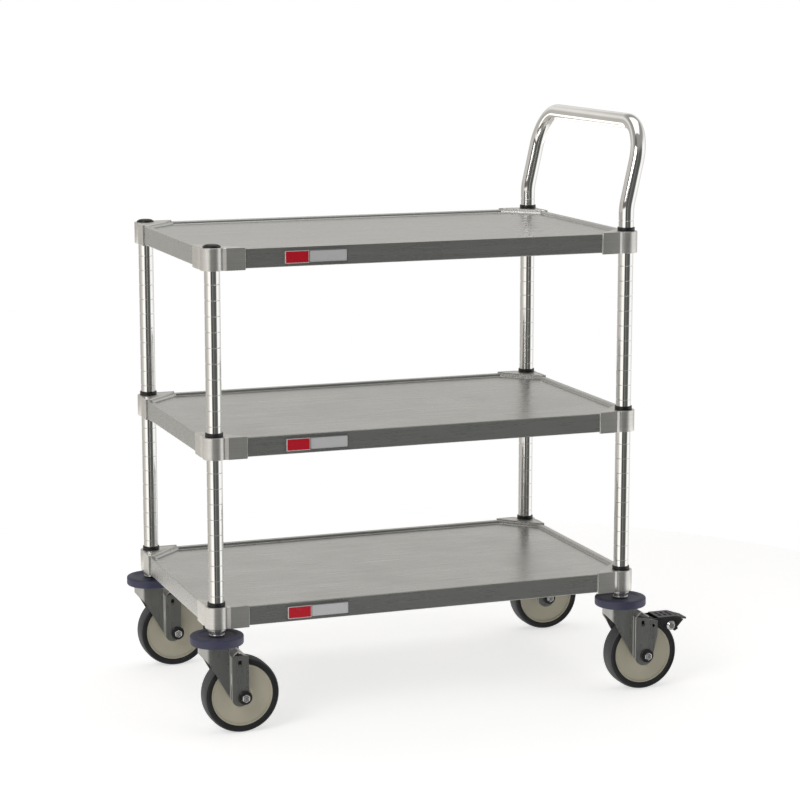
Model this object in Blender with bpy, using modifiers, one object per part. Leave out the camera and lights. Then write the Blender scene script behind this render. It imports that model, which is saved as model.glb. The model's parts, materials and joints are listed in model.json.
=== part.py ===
"""Three-shelf rolling pantry cart: sheet shelves on four posts, one U handle, four swivel casters.

Blender 4.5, metres, +Z up. The long side runs along X, with the push handle at the +X end and
the front rail facing -Y. The origin is on the floor, at the centre of the cart's bounding box.
"""
import math

import bmesh
import bpy
from mathutils import Matrix

# ---- Driving dimensions ------------------------------------------------------------------
GAP = 0.0003                    # clearance kept between neighbouring pieces

POST_SPACING_X = 0.7226         # between post axes, along the shelves
POST_SPACING_Y = 0.4214         # between post axes, across the shelves
POST_RADIUS = 0.0127
POST_WALL = 0.0016

SHELF_ABOVE_FORK = 0.0618       # fork top to the rim of the lowest shelf
LOWER_BAY = 0.2794              # rim to rim, bottom shelf to middle shelf
UPPER_BAY = 0.3048              # rim to rim, middle shelf to top shelf

RAIL_HEIGHT = 0.0320            # skirt round each shelf
RAIL_INSET = 0.0157             # post axis to the skirt's outer face
RIM_WIDTH = 0.0110              # flat top of the skirt
RIM_RISE = 0.0050               # rim above the shelf's floor
HEM_WIDTH = 0.0090              # lip turned in under the skirt
SHEET = 0.0015

COLLAR_WALL = 0.00635           # post surface to the collar's outer face
CASTING_RISE = 0.0022           # corner casting above the rim
CASTING_HEIGHT = 0.0366
WING_REACH = 0.0508             # post axis to the end of each corner wing
WING_FACE = 0.0182              # post axis to the wing's outer face
WING_THICKNESS = 0.0045
GUSSET_THICKNESS = 0.0058
GUSSET_RISE = 0.0005            # gusset above the rim

SLEEVE_TOP_WALL = 0.0015
SLEEVE_BOTTOM_WALL = 0.0033
SLEEVE_LIP = 0.0065             # sleeve showing above the casting
CAPPED_SLEEVE_LIP = 0.0025      # the same where a cap closes the post just above
SLEEVE_TAIL = 0.0020            # sleeve ends this far above the casting's underside
SLEEVE_SLIT = 0.0020

CAP_PLUG_LENGTH = 0.0140
CAP_DOME = 0.0022
CAP_SHOULDER = 0.7              # share of the dome's height that is left over the post's bore
CAP_EDGE = 0.3                  # and at the post's outer face

HANDLE_RISE = 0.1820            # top shelf's rim to the centre line of the crossbar
HANDLE_BEND_RISE = 0.0420       # top shelf's rim to where the legs lean outward
HANDLE_LEAN = math.radians(12.4)
HANDLE_BEND_RADIUS = 0.0900
HANDLE_CORNER_RADIUS = 0.0650

LABEL_LENGTH = 0.1060
LABEL_HEIGHT = 0.0224
LABEL_THICKNESS = 0.0014
LABEL_FROM_POST = 0.1153        # post axis to the label holder's near end
LABEL_DROP = 0.0054             # rim to the holder's top edge

STEM_SHANK_LENGTH = 0.0600
STEM_FLANGE_RADIUS = 0.0150
KINGPIN_RADIUS = 0.0060
KINGPIN_HEAD_RADIUS = 0.0095
KINGPIN_HEAD_HEIGHT = 0.0070

BUMPER_RADIUS = 0.0440
BUMPER_THICKNESS = 0.0145
BUMPER_EDGE = 0.0025            # rounding of the bumper's rim
BUMPER_TO_FORK = 0.0010

WHEEL_RADIUS = 0.0635
TREAD_WIDTH = 0.0320
TREAD_DEPTH = 0.0115
TREAD_FOOT = 0.95               # share of the tread's width at the core
TREAD_CROWN = 0.55              # and on its flat crown
TREAD_SHOULDER_DROP = 0.25      # share of the tread's depth taken by the rounded shoulder
WHEEL_TRAIL = 0.0380            # post axis to wheel axle, along +X
HUB_RADIUS = 0.0150
HUB_HALF_WIDTH = 0.0240
CORE_WEB_HALF = 0.0105
CORE_RIM_HALF = 0.0145
BUSHING_RADIUS = 0.0062
AXLE_RADIUS = 0.0040
AXLE_HEAD_RADIUS = 0.0070
AXLE_HEAD_THICKNESS = 0.0045
AXLE_WASHER_RADIUS = 0.0118
AXLE_WASHER_THICKNESS = 0.0030

FORK_ABOVE_WHEEL = 0.0230       # top of the tyre to the top of the fork
FORK_SHEET = 0.0025
FORK_HALF_WIDTH = 0.0210        # outside of the legs beside the kingpin
FORK_NOSE_X = -0.0105           # centre of the rounded nose, ahead of the kingpin
FORK_NOSE_HEIGHT = 0.0130       # fork top to the nose's lower edge
FORK_WEB_X = -0.0180            # where the nose's lower edge turns down to the legs
FORK_WEB_HEIGHT = 0.0290
FORK_LEG_X = 0.0150             # lower end of each leg
FORK_LEG_BELOW_AXLE = 0.0009
FORK_HEAD_RADIUS = 0.0235
FORK_HEAD_THICKNESS = 0.0038
PANEL_X = 0.0160                # where the legs step out to the axle panels
PANEL_HALF_WIDTH = 0.0300
PANEL_DROP = 0.0160             # fork top to the panels' top edge
PANEL_END_RADIUS = 0.0145
BRAKED_PANEL_END_RADIUS = 0.0170
SLOT_X = 0.0300
SLOT_DROP = 0.0290              # fork top to the slot's middle
SLOT_WIDTH = 0.0060
SLOT_HEIGHT = 0.0104
SEAM = 0.0005                   # how far joined sheets run into each other

PEDAL_PIVOT_X = 0.0500          # from the post axis
PEDAL_PIVOT_DROP = 0.0340       # fork top to the pivot
PEDAL_PIVOT_MARGIN = 0.0080     # panel round the pivot
PEDAL_PIN_RADIUS = 0.0030
PEDAL_REACH = 0.1210            # post axis to the pedal's tip
PEDAL_START_X = 0.0640          # post axis to where the sole starts, clear of the tyre
PEDAL_WAIST = 0.7               # share of the reach at which the sole starts to taper
PEDAL_HALF_WIDTH = 0.0215
PEDAL_TIP_HALF_WIDTH = 0.0150
PEDAL_TOP_DROP = 0.0235         # fork top to the sole
PEDAL_TIP_DROP = 0.0060
PEDAL_THICKNESS = 0.0030
CHEEK_THICKNESS = 0.0025
SHOE_TREAD_GAP = 0.0050         # released brake shoe to the tread
SHOE_THICKNESS = 0.0080
SHOE_HALF_ANGLE = math.radians(9)
SHOE_ANGLE = math.radians(40)   # shoe's middle, above the axle's level

# ---- Sizes that follow from them ---------------------------------------------------------
FORK_TOP_Z = 2 * WHEEL_RADIUS + FORK_ABOVE_WHEEL
PANEL_TOP_Z = FORK_TOP_Z - PANEL_DROP
PEDAL_PIVOT_Z = FORK_TOP_Z - PEDAL_PIVOT_DROP
PEDAL_TOP_Z = FORK_TOP_Z - PEDAL_TOP_DROP
BOTTOM_SHELF_Z = FORK_TOP_Z + SHELF_ABOVE_FORK
COLLAR_RADIUS = POST_RADIUS + COLLAR_WALL
SLEEVE_TOP_RADIUS = POST_RADIUS + SLEEVE_TOP_WALL
SLEEVE_BOTTOM_RADIUS = POST_RADIUS + SLEEVE_BOTTOM_WALL
# The pedals reach past the bumpers at +X, so the posts' centre lies off the box's centre.
CART_X = (BUMPER_RADIUS - PEDAL_REACH) / 2
HALF_X = POST_SPACING_X / 2
HALF_Y = POST_SPACING_Y / 2
SHELF_Z = {"bottom": BOTTOM_SHELF_Z,
           "middle": BOTTOM_SHELF_Z + LOWER_BAY,
           "top": BOTTOM_SHELF_Z + LOWER_BAY + UPPER_BAY}
CORNERS = {"front_left": (-1, -1), "front_right": (1, -1),
           "rear_left": (-1, 1), "rear_right": (1, 1)}
POST_BORE = POST_RADIUS - POST_WALL
POST_FOOT_Z = BOTTOM_SHELF_Z + CASTING_RISE - CASTING_HEIGHT
POST_TOP_Z = SHELF_Z["top"] + CASTING_RISE + CAPPED_SLEEVE_LIP
HANDLE_TOP = SHELF_Z["top"] + HANDLE_RISE
HANDLE_BEND_Z = SHELF_Z["top"] + HANDLE_BEND_RISE
PANEL_INNER = PANEL_HALF_WIDTH - FORK_SHEET
CORE_RADIUS = WHEEL_RADIUS - TREAD_DEPTH
MERGE = 0.000002                # points closer than this are one point
SEGMENTS = 16
WHEEL_SEGMENTS = 28
BUMPER_SEGMENTS = 24


# ---- Workshop: closed meshes in, closed meshes out ---------------------------------------
def clear_scene():
    for obj in list(bpy.data.objects):
        bpy.data.objects.remove(obj, do_unlink=True)


def new_collection(name):
    collection = bpy.data.collections.new(name)
    bpy.context.scene.collection.children.link(collection)
    return collection


def bench_object(data):
    """A temporary object that a mesh is made on; it is hidden like any cutter."""
    obj = bpy.data.objects.new("bench", data)
    obj.hide_render = True
    obj.display_type = "WIRE"
    BENCH.objects.link(obj)
    return obj


def finished(obj):
    """The evaluated mesh of a bench object in its own place; the object is removed."""
    bpy.context.view_layer.update()
    evaluated = obj.evaluated_get(bpy.context.evaluated_depsgraph_get())
    mesh = bpy.data.meshes.new_from_object(evaluated)
    mesh.transform(obj.matrix_world)
    bm = bmesh.new()
    bm.from_mesh(mesh)
    bmesh.ops.remove_doubles(bm, verts=bm.verts, dist=MERGE)
    bm.to_mesh(mesh)
    bm.free()
    bpy.data.objects.remove(obj)
    return mesh


def box(low, high):
    """A block between two opposite corners."""
    bm = bmesh.new()
    bmesh.ops.create_cube(bm, size=1)
    size = [b - a for a, b in zip(low, high)]
    middle = [(a + b) / 2 for a, b in zip(low, high)]
    bmesh.ops.transform(bm, verts=bm.verts, matrix=Matrix.Diagonal((*size, 1)))
    bmesh.ops.translate(bm, verts=bm.verts, vec=middle)
    mesh = bpy.data.meshes.new("block")
    bm.to_mesh(mesh)
    bm.free()
    return mesh


def rod(radius, low, high, axis="Z", at=(0, 0), segments=SEGMENTS, top_radius=None):
    """A rod or cone along Z at (x, y), or along Y at (x, z), from low to high."""
    bm = bmesh.new()
    upper = radius if top_radius is None else top_radius
    bmesh.ops.create_cone(bm, cap_ends=True, segments=segments, radius1=radius, radius2=upper,
                          depth=high - low)
    bmesh.ops.translate(bm, verts=bm.verts, vec=(0, 0, (low + high) / 2))
    if axis == "Y":
        bmesh.ops.rotate(bm, verts=bm.verts, matrix=Matrix.Rotation(-math.pi / 2, 3, "X"))
        bmesh.ops.translate(bm, verts=bm.verts, vec=(at[0], 0, at[1]))
    else:
        bmesh.ops.translate(bm, verts=bm.verts, vec=(at[0], at[1], 0))
    mesh = bpy.data.meshes.new("rod")
    bm.to_mesh(mesh)
    bm.free()
    return mesh


def turned(profile, segments=SEGMENTS, axis="Z"):
    """A body turned from (radius, height) points that run down its outer side.

    A profile that starts on the axis also ends there; any other is a closed ring.
    """
    mesh = bpy.data.meshes.new("turned")
    edges = [(i, i + 1) for i in range(len(profile) - 1)]
    if profile[0][0] > 0:
        edges.append((len(profile) - 1, 0))
    mesh.from_pydata([(radius, 0, height) for radius, height in profile], edges, [])
    obj = bench_object(mesh)
    screw = obj.modifiers.new("Turn", "SCREW")
    screw.steps = screw.render_steps = segments
    screw.use_merge_vertices = True
    screw.merge_threshold = 0.00001
    if axis == "Y":
        obj.rotation_euler.x = math.pi / 2
    return finished(obj)


def plate(outline, low, high, axis="Z"):
    """A flat outline given thickness: (x, y) points along Z, or (x, z) points along Y."""
    curve = bpy.data.curves.new("plate", "CURVE")
    curve.dimensions = "2D"
    curve.fill_mode = "BOTH"
    curve.extrude = (high - low) / 2
    spline = curve.splines.new("POLY")
    spline.points.add(len(outline) - 1)
    for point, (x, y) in zip(spline.points, outline):
        point.co = (x, y, 0, 1)
    spline.use_cyclic_u = True
    obj = bench_object(curve)
    if axis == "Y":
        obj.rotation_euler.x = math.pi / 2
        obj.location.y = (low + high) / 2
    else:
        obj.location.z = (low + high) / 2
    return finished(obj)


def boolean(operation, body, *tools):
    """body joined with (UNION) or cut by (DIFFERENCE) each of the tools in turn."""
    obj = bench_object(body)
    cutters = [bench_object(tool) for tool in tools]
    for cutter in cutters:
        modifier = obj.modifiers.new("Boolean", "BOOLEAN")
        modifier.operation = operation
        modifier.object = cutter
    mesh = finished(obj)
    for cutter in cutters:
        bpy.data.objects.remove(cutter)
    return mesh


def arc(centre, radius, start, end, steps):
    """Points on an arc, from one angle to another, both ends included."""
    angles = [start + (end - start) * i / steps for i in range(steps + 1)]
    return [(centre[0] + radius * math.cos(a), centre[1] + radius * math.sin(a))
            for a in angles]


def mirrored(mesh, x_sign, y_sign):
    """A copy of a mesh flipped across the YZ plane, the XZ plane or both."""
    copy = mesh.copy()
    copy.transform(Matrix.Diagonal((x_sign, y_sign, 1, 1)))
    if x_sign * y_sign < 0:
        copy.flip_normals()
    return copy


def finish(name, colour, roughness, metallic):
    """A piece's own material."""
    material = bpy.data.materials.new(name)
    material.use_nodes = True
    shader = material.node_tree.nodes["Principled BSDF"]
    shader.inputs["Base Color"].default_value = (*colour, 1)
    shader.inputs["Roughness"].default_value = roughness
    shader.inputs["Metallic"].default_value = metallic
    return material


def chrome(name):
    return finish(name, (0.78, 0.78, 0.77), 0.08, 1.0)


def zinc(name):
    return finish(name, (0.30, 0.30, 0.29), 0.35, 1.0)


def stainless(name):
    return finish(name, (0.52, 0.51, 0.48), 0.32, 1.0)


def black_plastic(name):
    return finish(name, (0.012, 0.012, 0.013), 0.45, 0.0)


def blue_rubber(name):
    return finish(name, (0.065, 0.065, 0.115), 0.55, 0.0)


def beige_plastic(name):
    return finish(name, (0.30, 0.28, 0.21), 0.5, 0.0)


def grey_rubber(name):
    return finish(name, (0.045, 0.045, 0.048), 0.7, 0.0)


def node(name, mesh, material, parent=None, location=(0, 0, 0)):
    """One named piece of the cart; copies of a piece share their mesh but not their material."""
    obj = bpy.data.objects.new(name, mesh)
    CART.objects.link(obj)
    if not mesh.materials:
        mesh.materials.append(None)
        mesh.shade_smooth()
        mesh.set_sharp_from_angle(angle=math.radians(40))
    obj.material_slots[0].link = "OBJECT"
    obj.material_slots[0].material = material(name)
    obj.location = location
    obj.parent = parent
    return obj


def axis_point(name, location, parent=None):
    """An empty on a joint's axis, which the pieces that turn about it hang from."""
    empty = bpy.data.objects.new(name, None)
    empty.empty_display_size = 0.02
    CART.objects.link(empty)
    empty.location = location
    empty.parent = parent
    return empty


# ---- Shelves -----------------------------------------------------------------------------
def pan_outline(inset):
    """Corner-cut rectangle at a distance inside the skirt's outer face."""
    x = HALF_X + RAIL_INSET - inset
    y = HALF_Y + RAIL_INSET - inset
    cut = WING_REACH + RAIL_INSET - WING_THICKNESS - inset * (2 - math.sqrt(2))
    return [(-x + cut, -y), (x - cut, -y), (x, -y + cut), (x, y - cut),
            (x - cut, y), (-x + cut, y), (-x, y - cut), (-x, -y + cut)]


def pan():
    """The pressed pan: hem, skirt, rim, inner wall and floor as one sheet, rim top at z = 0."""
    rings = [(HEM_WIDTH, -RAIL_HEIGHT), (0, -RAIL_HEIGHT), (0, 0), (RIM_WIDTH, 0),
             (RIM_WIDTH, -RIM_RISE)]
    bm = bmesh.new()
    loops = [[bm.verts.new((x, y, height)) for x, y in pan_outline(inset)]
             for inset, height in rings]
    for lower, upper in zip(loops[:-1], loops[1:]):
        for i in range(len(lower)):
            j = (i + 1) % len(lower)
            bm.faces.new((lower[i], lower[j], upper[j], upper[i]))
    bm.faces.new(loops[-1])
    mesh = bpy.data.meshes.new("pan")
    bm.to_mesh(mesh)
    bm.free()
    obj = bench_object(mesh)
    sheet = obj.modifiers.new("Sheet", "SOLIDIFY")
    sheet.thickness = SHEET
    sheet.offset = -1
    sheet.use_even_offset = True
    return finished(obj)


def corner_casting():
    """Collar, two wings and gusset of the corner at -X, -Y, with the post axis at x = y = 0."""
    top = CASTING_RISE
    bottom = CASTING_RISE - CASTING_HEIGHT
    collar = rod(COLLAR_RADIUS, bottom, top)
    inner = WING_THICKNESS - WING_FACE
    wing_x = box((0, -WING_FACE, bottom), (WING_REACH, inner, top))
    wing_y = box((-WING_FACE, 0, bottom), (inner, WING_REACH, top))
    tip = WING_REACH - WING_THICKNESS / 2
    web = inner - WING_THICKNESS / 2
    gusset = plate([(web, web), (tip, web), (web, tip)], GUSSET_RISE - GUSSET_THICKNESS,
                   GUSSET_RISE)
    return boolean("UNION", collar, wing_x, wing_y, gusset)


def shelf():
    """Pan with its four corner castings, bored for the tapered sleeves."""
    casting = corner_casting()
    castings = []
    bores = []
    for x_sign, y_sign in CORNERS.values():
        copy = mirrored(casting, -x_sign, -y_sign)
        copy.transform(Matrix.Translation((x_sign * HALF_X, y_sign * HALF_Y, 0)))
        castings.append(copy)
        low = CASTING_RISE - CASTING_HEIGHT
        taper = (SLEEVE_BOTTOM_RADIUS - SLEEVE_TOP_RADIUS) / CASTING_HEIGHT
        bores.append(rod(SLEEVE_BOTTOM_RADIUS + GAP + taper * GAP, low - GAP, CASTING_RISE + GAP,
                         at=(x_sign * HALF_X, y_sign * HALF_Y),
                         top_radius=SLEEVE_TOP_RADIUS + GAP - taper * GAP))
    return boolean("DIFFERENCE", boolean("UNION", pan(), *castings), *bores)


def sleeve(lip):
    """Tapered split sleeve with a lip above the casting; z = 0 at the shelf's rim."""
    top = CASTING_RISE
    low = CASTING_RISE - CASTING_HEIGHT + SLEEVE_TAIL
    slope = (SLEEVE_BOTTOM_RADIUS - SLEEVE_TOP_RADIUS) / CASTING_HEIGHT
    inner = POST_RADIUS + GAP
    ring = turned([(SLEEVE_TOP_RADIUS, top + lip), (SLEEVE_TOP_RADIUS, top),
                   (SLEEVE_TOP_RADIUS + slope * (top - low), low), (inner, low),
                   (inner, top + lip)])
    slit = box((0, -SLEEVE_SLIT / 2, low - GAP),
               (SLEEVE_BOTTOM_RADIUS * 2, SLEEVE_SLIT / 2, top + lip + GAP))
    return boolean("DIFFERENCE", ring, slit)


def label_holder():
    """Card holder that sits on the front rail: a plate with a lip along both long edges."""
    lip = LABEL_THICKNESS
    body = box((0, -LABEL_THICKNESS, -LABEL_HEIGHT), (LABEL_LENGTH, 0, 0))
    upper = box((0, -2 * lip, -lip), (LABEL_LENGTH, -lip / 2, 0))
    lower = box((0, -2 * lip, -LABEL_HEIGHT), (LABEL_LENGTH, -lip / 2, lip - LABEL_HEIGHT))
    return boolean("UNION", body, upper, lower)


def build_shelves():
    shelf_mesh = shelf()
    sleeve_mesh = sleeve(SLEEVE_LIP)
    capped_sleeve_mesh = sleeve(CAPPED_SLEEVE_LIP)
    label_mesh = label_holder()
    label_x = CART_X - HALF_X + LABEL_FROM_POST
    label_y = -HALF_Y - RAIL_INSET - GAP
    for level, z in SHELF_Z.items():
        node("shelf_" + level, shelf_mesh, stainless, location=(CART_X, 0, z))
        node("label_holder_" + level, label_mesh, black_plastic,
             location=(label_x, label_y, z - LABEL_DROP))
        for corner, (x_sign, y_sign) in CORNERS.items():
            capped = level == "top" and x_sign < 0
            node(f"sleeve_{level}_{corner}", capped_sleeve_mesh if capped else sleeve_mesh,
                 black_plastic,
                 location=(CART_X + x_sign * HALF_X, y_sign * HALF_Y, z))


# ---- Posts and handle --------------------------------------------------------------------
def handle_path():
    """Centre line of the U: up one rear leg, over the crossbar and down the front leg."""
    setback = HANDLE_BEND_RADIUS * math.tan(HANDLE_LEAN / 2)
    leg = [(0, POST_FOOT_Z)]
    leg += [(HANDLE_BEND_RADIUS + x, HANDLE_BEND_Z - setback + z)
            for x, z in arc((0, 0), HANDLE_BEND_RADIUS, math.pi, math.pi - HANDLE_LEAN, 4)]
    lean_x = math.sin(HANDLE_LEAN)
    lean_z = math.cos(HANDLE_LEAN)
    rise = (HANDLE_TOP - HANDLE_BEND_Z) / lean_z - HANDLE_CORNER_RADIUS
    side = [(x, HALF_Y, z) for x, z in leg]
    for across, along in arc((-HANDLE_CORNER_RADIUS, rise), HANDLE_CORNER_RADIUS,
                             0, math.pi / 2, 6):
        side.append((along * lean_x, HALF_Y + across, HANDLE_BEND_Z + along * lean_z))
    return side + [(x, -y, z) for x, y, z in reversed(side)]


def tube_along(points, radius):
    """A round solid swept along a path, with closed ends."""
    curve = bpy.data.curves.new("tube", "CURVE")
    curve.dimensions = "3D"
    curve.bevel_depth = radius
    curve.bevel_resolution = 5
    curve.use_fill_caps = True
    spline = curve.splines.new("POLY")
    spline.points.add(len(points) - 1)
    for point, place in zip(spline.points, points):
        point.co = (*place, 1)
    return finished(bench_object(curve))


def handle_post():
    """The handle and both right-hand posts: one bent tube, open at its two feet."""
    path = handle_path()
    outer = tube_along(path, POST_RADIUS)
    ends = [(x, y, z - GAP) for x, y, z in (path[0], path[-1])]
    inner = tube_along([ends[0]] + path[1:-1] + [ends[1]], POST_BORE)
    return boolean("DIFFERENCE", outer, inner)


def build_posts():
    post = turned([(POST_RADIUS, POST_TOP_Z), (POST_RADIUS, POST_FOOT_Z),
                   (POST_BORE, POST_FOOT_Z), (POST_BORE, POST_TOP_Z)])
    plug = POST_BORE - GAP
    seat = POST_TOP_Z + GAP
    cap = turned([(0, seat + CAP_DOME), (plug, seat + CAP_DOME * CAP_SHOULDER),
                  (POST_RADIUS, seat + CAP_DOME * CAP_EDGE), (POST_RADIUS, seat), (plug, seat),
                  (plug, seat - CAP_PLUG_LENGTH), (0, seat - CAP_PLUG_LENGTH)])
    for side, y_sign in (("front", -1), ("rear", 1)):
        place = (CART_X - HALF_X, y_sign * HALF_Y, 0)
        node(f"post_{side}_left", post, chrome, location=place)
        node(f"cap_{side}_left", cap, black_plastic, location=place)
    node("handle_post", handle_post(), chrome, location=(CART_X + HALF_X, 0, 0))


# ---- Casters -----------------------------------------------------------------------------
def stem():
    """Shank in the post, flange under it, and the kingpin with its head under the fork."""
    flange_top = POST_FOOT_Z - GAP
    flange_bottom = FORK_TOP_Z + BUMPER_TO_FORK + BUMPER_THICKNESS + GAP
    head_top = FORK_TOP_Z - FORK_HEAD_THICKNESS - GAP
    shank = POST_BORE - 2 * GAP
    return turned([(0, POST_FOOT_Z + STEM_SHANK_LENGTH), (shank, POST_FOOT_Z + STEM_SHANK_LENGTH),
                   (shank, flange_top), (STEM_FLANGE_RADIUS, flange_top),
                   (STEM_FLANGE_RADIUS, flange_bottom), (KINGPIN_RADIUS, flange_bottom),
                   (KINGPIN_RADIUS, head_top), (KINGPIN_HEAD_RADIUS, head_top),
                   (KINGPIN_HEAD_RADIUS, head_top - KINGPIN_HEAD_HEIGHT),
                   (0, head_top - KINGPIN_HEAD_HEIGHT)], segments=16)


def bumper():
    """Round donut bumper on the kingpin."""
    low = FORK_TOP_Z + BUMPER_TO_FORK
    high = low + BUMPER_THICKNESS
    bore = KINGPIN_RADIUS + GAP
    edge = BUMPER_RADIUS - BUMPER_EDGE
    return turned([(bore, high), (edge, high), (BUMPER_RADIUS, high - BUMPER_EDGE),
                   (BUMPER_RADIUS, low + BUMPER_EDGE), (edge, low), (bore, low)],
                  BUMPER_SEGMENTS)


def fork_channel():
    """Folded sheet round the kingpin: two legs joined by a rounded nose, cut back at a slant."""
    outer = FORK_HALF_WIDTH
    inner = FORK_HALF_WIDTH - FORK_SHEET
    back = PANEL_X + FORK_SHEET
    nose = (FORK_NOSE_X, 0)
    outline = [(back, outer)] + arc(nose, outer, math.pi / 2, math.pi * 1.5, 8) + [(back, -outer)]
    outline += [(back, -inner)] + arc(nose, inner, math.pi * 1.5, math.pi / 2, 8)
    outline += [(back, inner)]
    leg_x, leg_z = FORK_LEG_X, WHEEL_RADIUS - FORK_LEG_BELOW_AXLE
    channel = plate(outline, leg_z, FORK_TOP_Z - GAP)
    front = FORK_NOSE_X - outer
    below = leg_z - outer
    nose_z = FORK_TOP_Z - FORK_NOSE_HEIGHT
    slant = plate([(front - outer, nose_z), (front, nose_z),
                   (FORK_WEB_X, FORK_TOP_Z - FORK_WEB_HEIGHT), (leg_x, leg_z), (leg_x, below),
                   (front - outer, below)],
                  -2 * outer, 2 * outer, axis="Y")
    return boolean("DIFFERENCE", channel, slant)


def panel_outline(braked):
    """Side view of an axle panel: round below the axle, drawn out to the pedal pivot if braked."""
    radius = BRAKED_PANEL_END_RADIUS if braked else PANEL_END_RADIUS
    outline = arc((PANEL_X + radius, WHEEL_RADIUS), radius, math.pi, 2 * math.pi, 8)
    if braked:
        back = PEDAL_PIVOT_X + PEDAL_PIVOT_MARGIN
        outline += [(back, PEDAL_PIVOT_Z - 2 * PEDAL_PIVOT_MARGIN),
                    (back, PEDAL_PIVOT_Z + PEDAL_PIVOT_MARGIN)]
    else:
        outline.append((PANEL_X + 2 * radius, PANEL_TOP_Z))
    outline.append((PANEL_X, PANEL_TOP_Z))
    return outline


def fork(braked):
    """Swivel fork: head round the kingpin, folded legs, and a stepped-out panel each side."""
    head = turned([(FORK_HEAD_RADIUS, FORK_TOP_Z),
                   (FORK_HEAD_RADIUS, FORK_TOP_Z - FORK_HEAD_THICKNESS),
                   (KINGPIN_RADIUS + GAP, FORK_TOP_Z - FORK_HEAD_THICKNESS),
                   (KINGPIN_RADIUS + GAP, FORK_TOP_Z)])
    pieces = [fork_channel()]
    inner = FORK_HALF_WIDTH - FORK_SHEET
    outline = panel_outline(braked)
    slot_z = FORK_TOP_Z - SLOT_DROP
    holes = [rod(AXLE_RADIUS + GAP, -2 * PANEL_HALF_WIDTH, 2 * PANEL_HALF_WIDTH, "Y",
                 (WHEEL_TRAIL, WHEEL_RADIUS), segments=12),
             box((SLOT_X - SLOT_WIDTH / 2, -2 * PANEL_HALF_WIDTH, slot_z - SLOT_HEIGHT / 2),
                 (SLOT_X + SLOT_WIDTH / 2, 2 * PANEL_HALF_WIDTH, slot_z + SLOT_HEIGHT / 2))]
    if braked:
        holes.append(rod(PEDAL_PIN_RADIUS + GAP, -2 * PANEL_HALF_WIDTH, 2 * PANEL_HALF_WIDTH, "Y",
                         (PEDAL_PIVOT_X, PEDAL_PIVOT_Z), segments=12))
    for side in (-1, 1):
        near, far = sorted((side * PANEL_INNER, side * PANEL_HALF_WIDTH))
        pieces.append(plate(outline, near, far, axis="Y"))
        near, far = sorted((side * inner, side * (PANEL_HALF_WIDTH - FORK_SHEET / 2)))
        pieces.append(box((PANEL_X + SEAM, near, WHEEL_RADIUS - FORK_SHEET),
                          (PANEL_X + FORK_SHEET + SEAM, far, PANEL_TOP_Z - SEAM)))
    return boolean("DIFFERENCE", boolean("UNION", head, *pieces), *holes)


def tyre():
    """Tread ring round the core, centred on the axle, turned about Y."""
    half = TREAD_WIDTH / 2
    root = CORE_RADIUS + GAP
    crown = WHEEL_RADIUS
    shoulder = crown - TREAD_DEPTH * TREAD_SHOULDER_DROP
    return turned([(root, half * TREAD_FOOT), (shoulder, half), (crown, half * TREAD_CROWN),
                   (crown, -half * TREAD_CROWN), (shoulder, -half), (root, -half * TREAD_FOOT)],
                  WHEEL_SEGMENTS, "Y")


def wheel_core():
    """Moulded wheel centre with its hub, turned about Y."""
    bore = BUSHING_RADIUS + GAP
    rim = CORE_RADIUS - (CORE_RIM_HALF - CORE_WEB_HALF)
    upper = [(bore, HUB_HALF_WIDTH), (HUB_RADIUS, HUB_HALF_WIDTH), (HUB_RADIUS, CORE_WEB_HALF),
             (rim, CORE_WEB_HALF), (CORE_RADIUS, CORE_RIM_HALF)]
    lower = [(radius, -height) for radius, height in reversed(upper)]
    return turned(upper + lower, WHEEL_SEGMENTS, "Y")


def bushing():
    """Spacer tube that the axle bolt clamps between the panels, and the core runs on."""
    half = PANEL_INNER - GAP
    return turned([(BUSHING_RADIUS, half), (BUSHING_RADIUS, -half), (AXLE_RADIUS + GAP, -half),
                   (AXLE_RADIUS + GAP, half)], 16, "Y")


def axle_bolt():
    """Hex bolt through both panels, with its head on the far side."""
    seat = PANEL_HALF_WIDTH + GAP
    end = PANEL_HALF_WIDTH + AXLE_WASHER_THICKNESS + AXLE_HEAD_THICKNESS
    head = rod(AXLE_HEAD_RADIUS, seat, seat + AXLE_HEAD_THICKNESS, "Y", segments=6)
    return boolean("UNION", head, rod(AXLE_RADIUS, -end, seat + GAP, "Y", segments=12))


def axle_nut():
    """Flanged nut on the near side."""
    seat = -PANEL_HALF_WIDTH - GAP
    face = seat - AXLE_WASHER_THICKNESS
    washer = rod(AXLE_WASHER_RADIUS, face, seat, "Y")
    hexagon = rod(AXLE_HEAD_RADIUS, face - AXLE_HEAD_THICKNESS + GAP, face + GAP, "Y", segments=6)
    thread = rod(AXLE_RADIUS + GAP, 2 * seat, 0, "Y", segments=12)
    return boolean("DIFFERENCE", boolean("UNION", washer, hexagon), thread)


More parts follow.
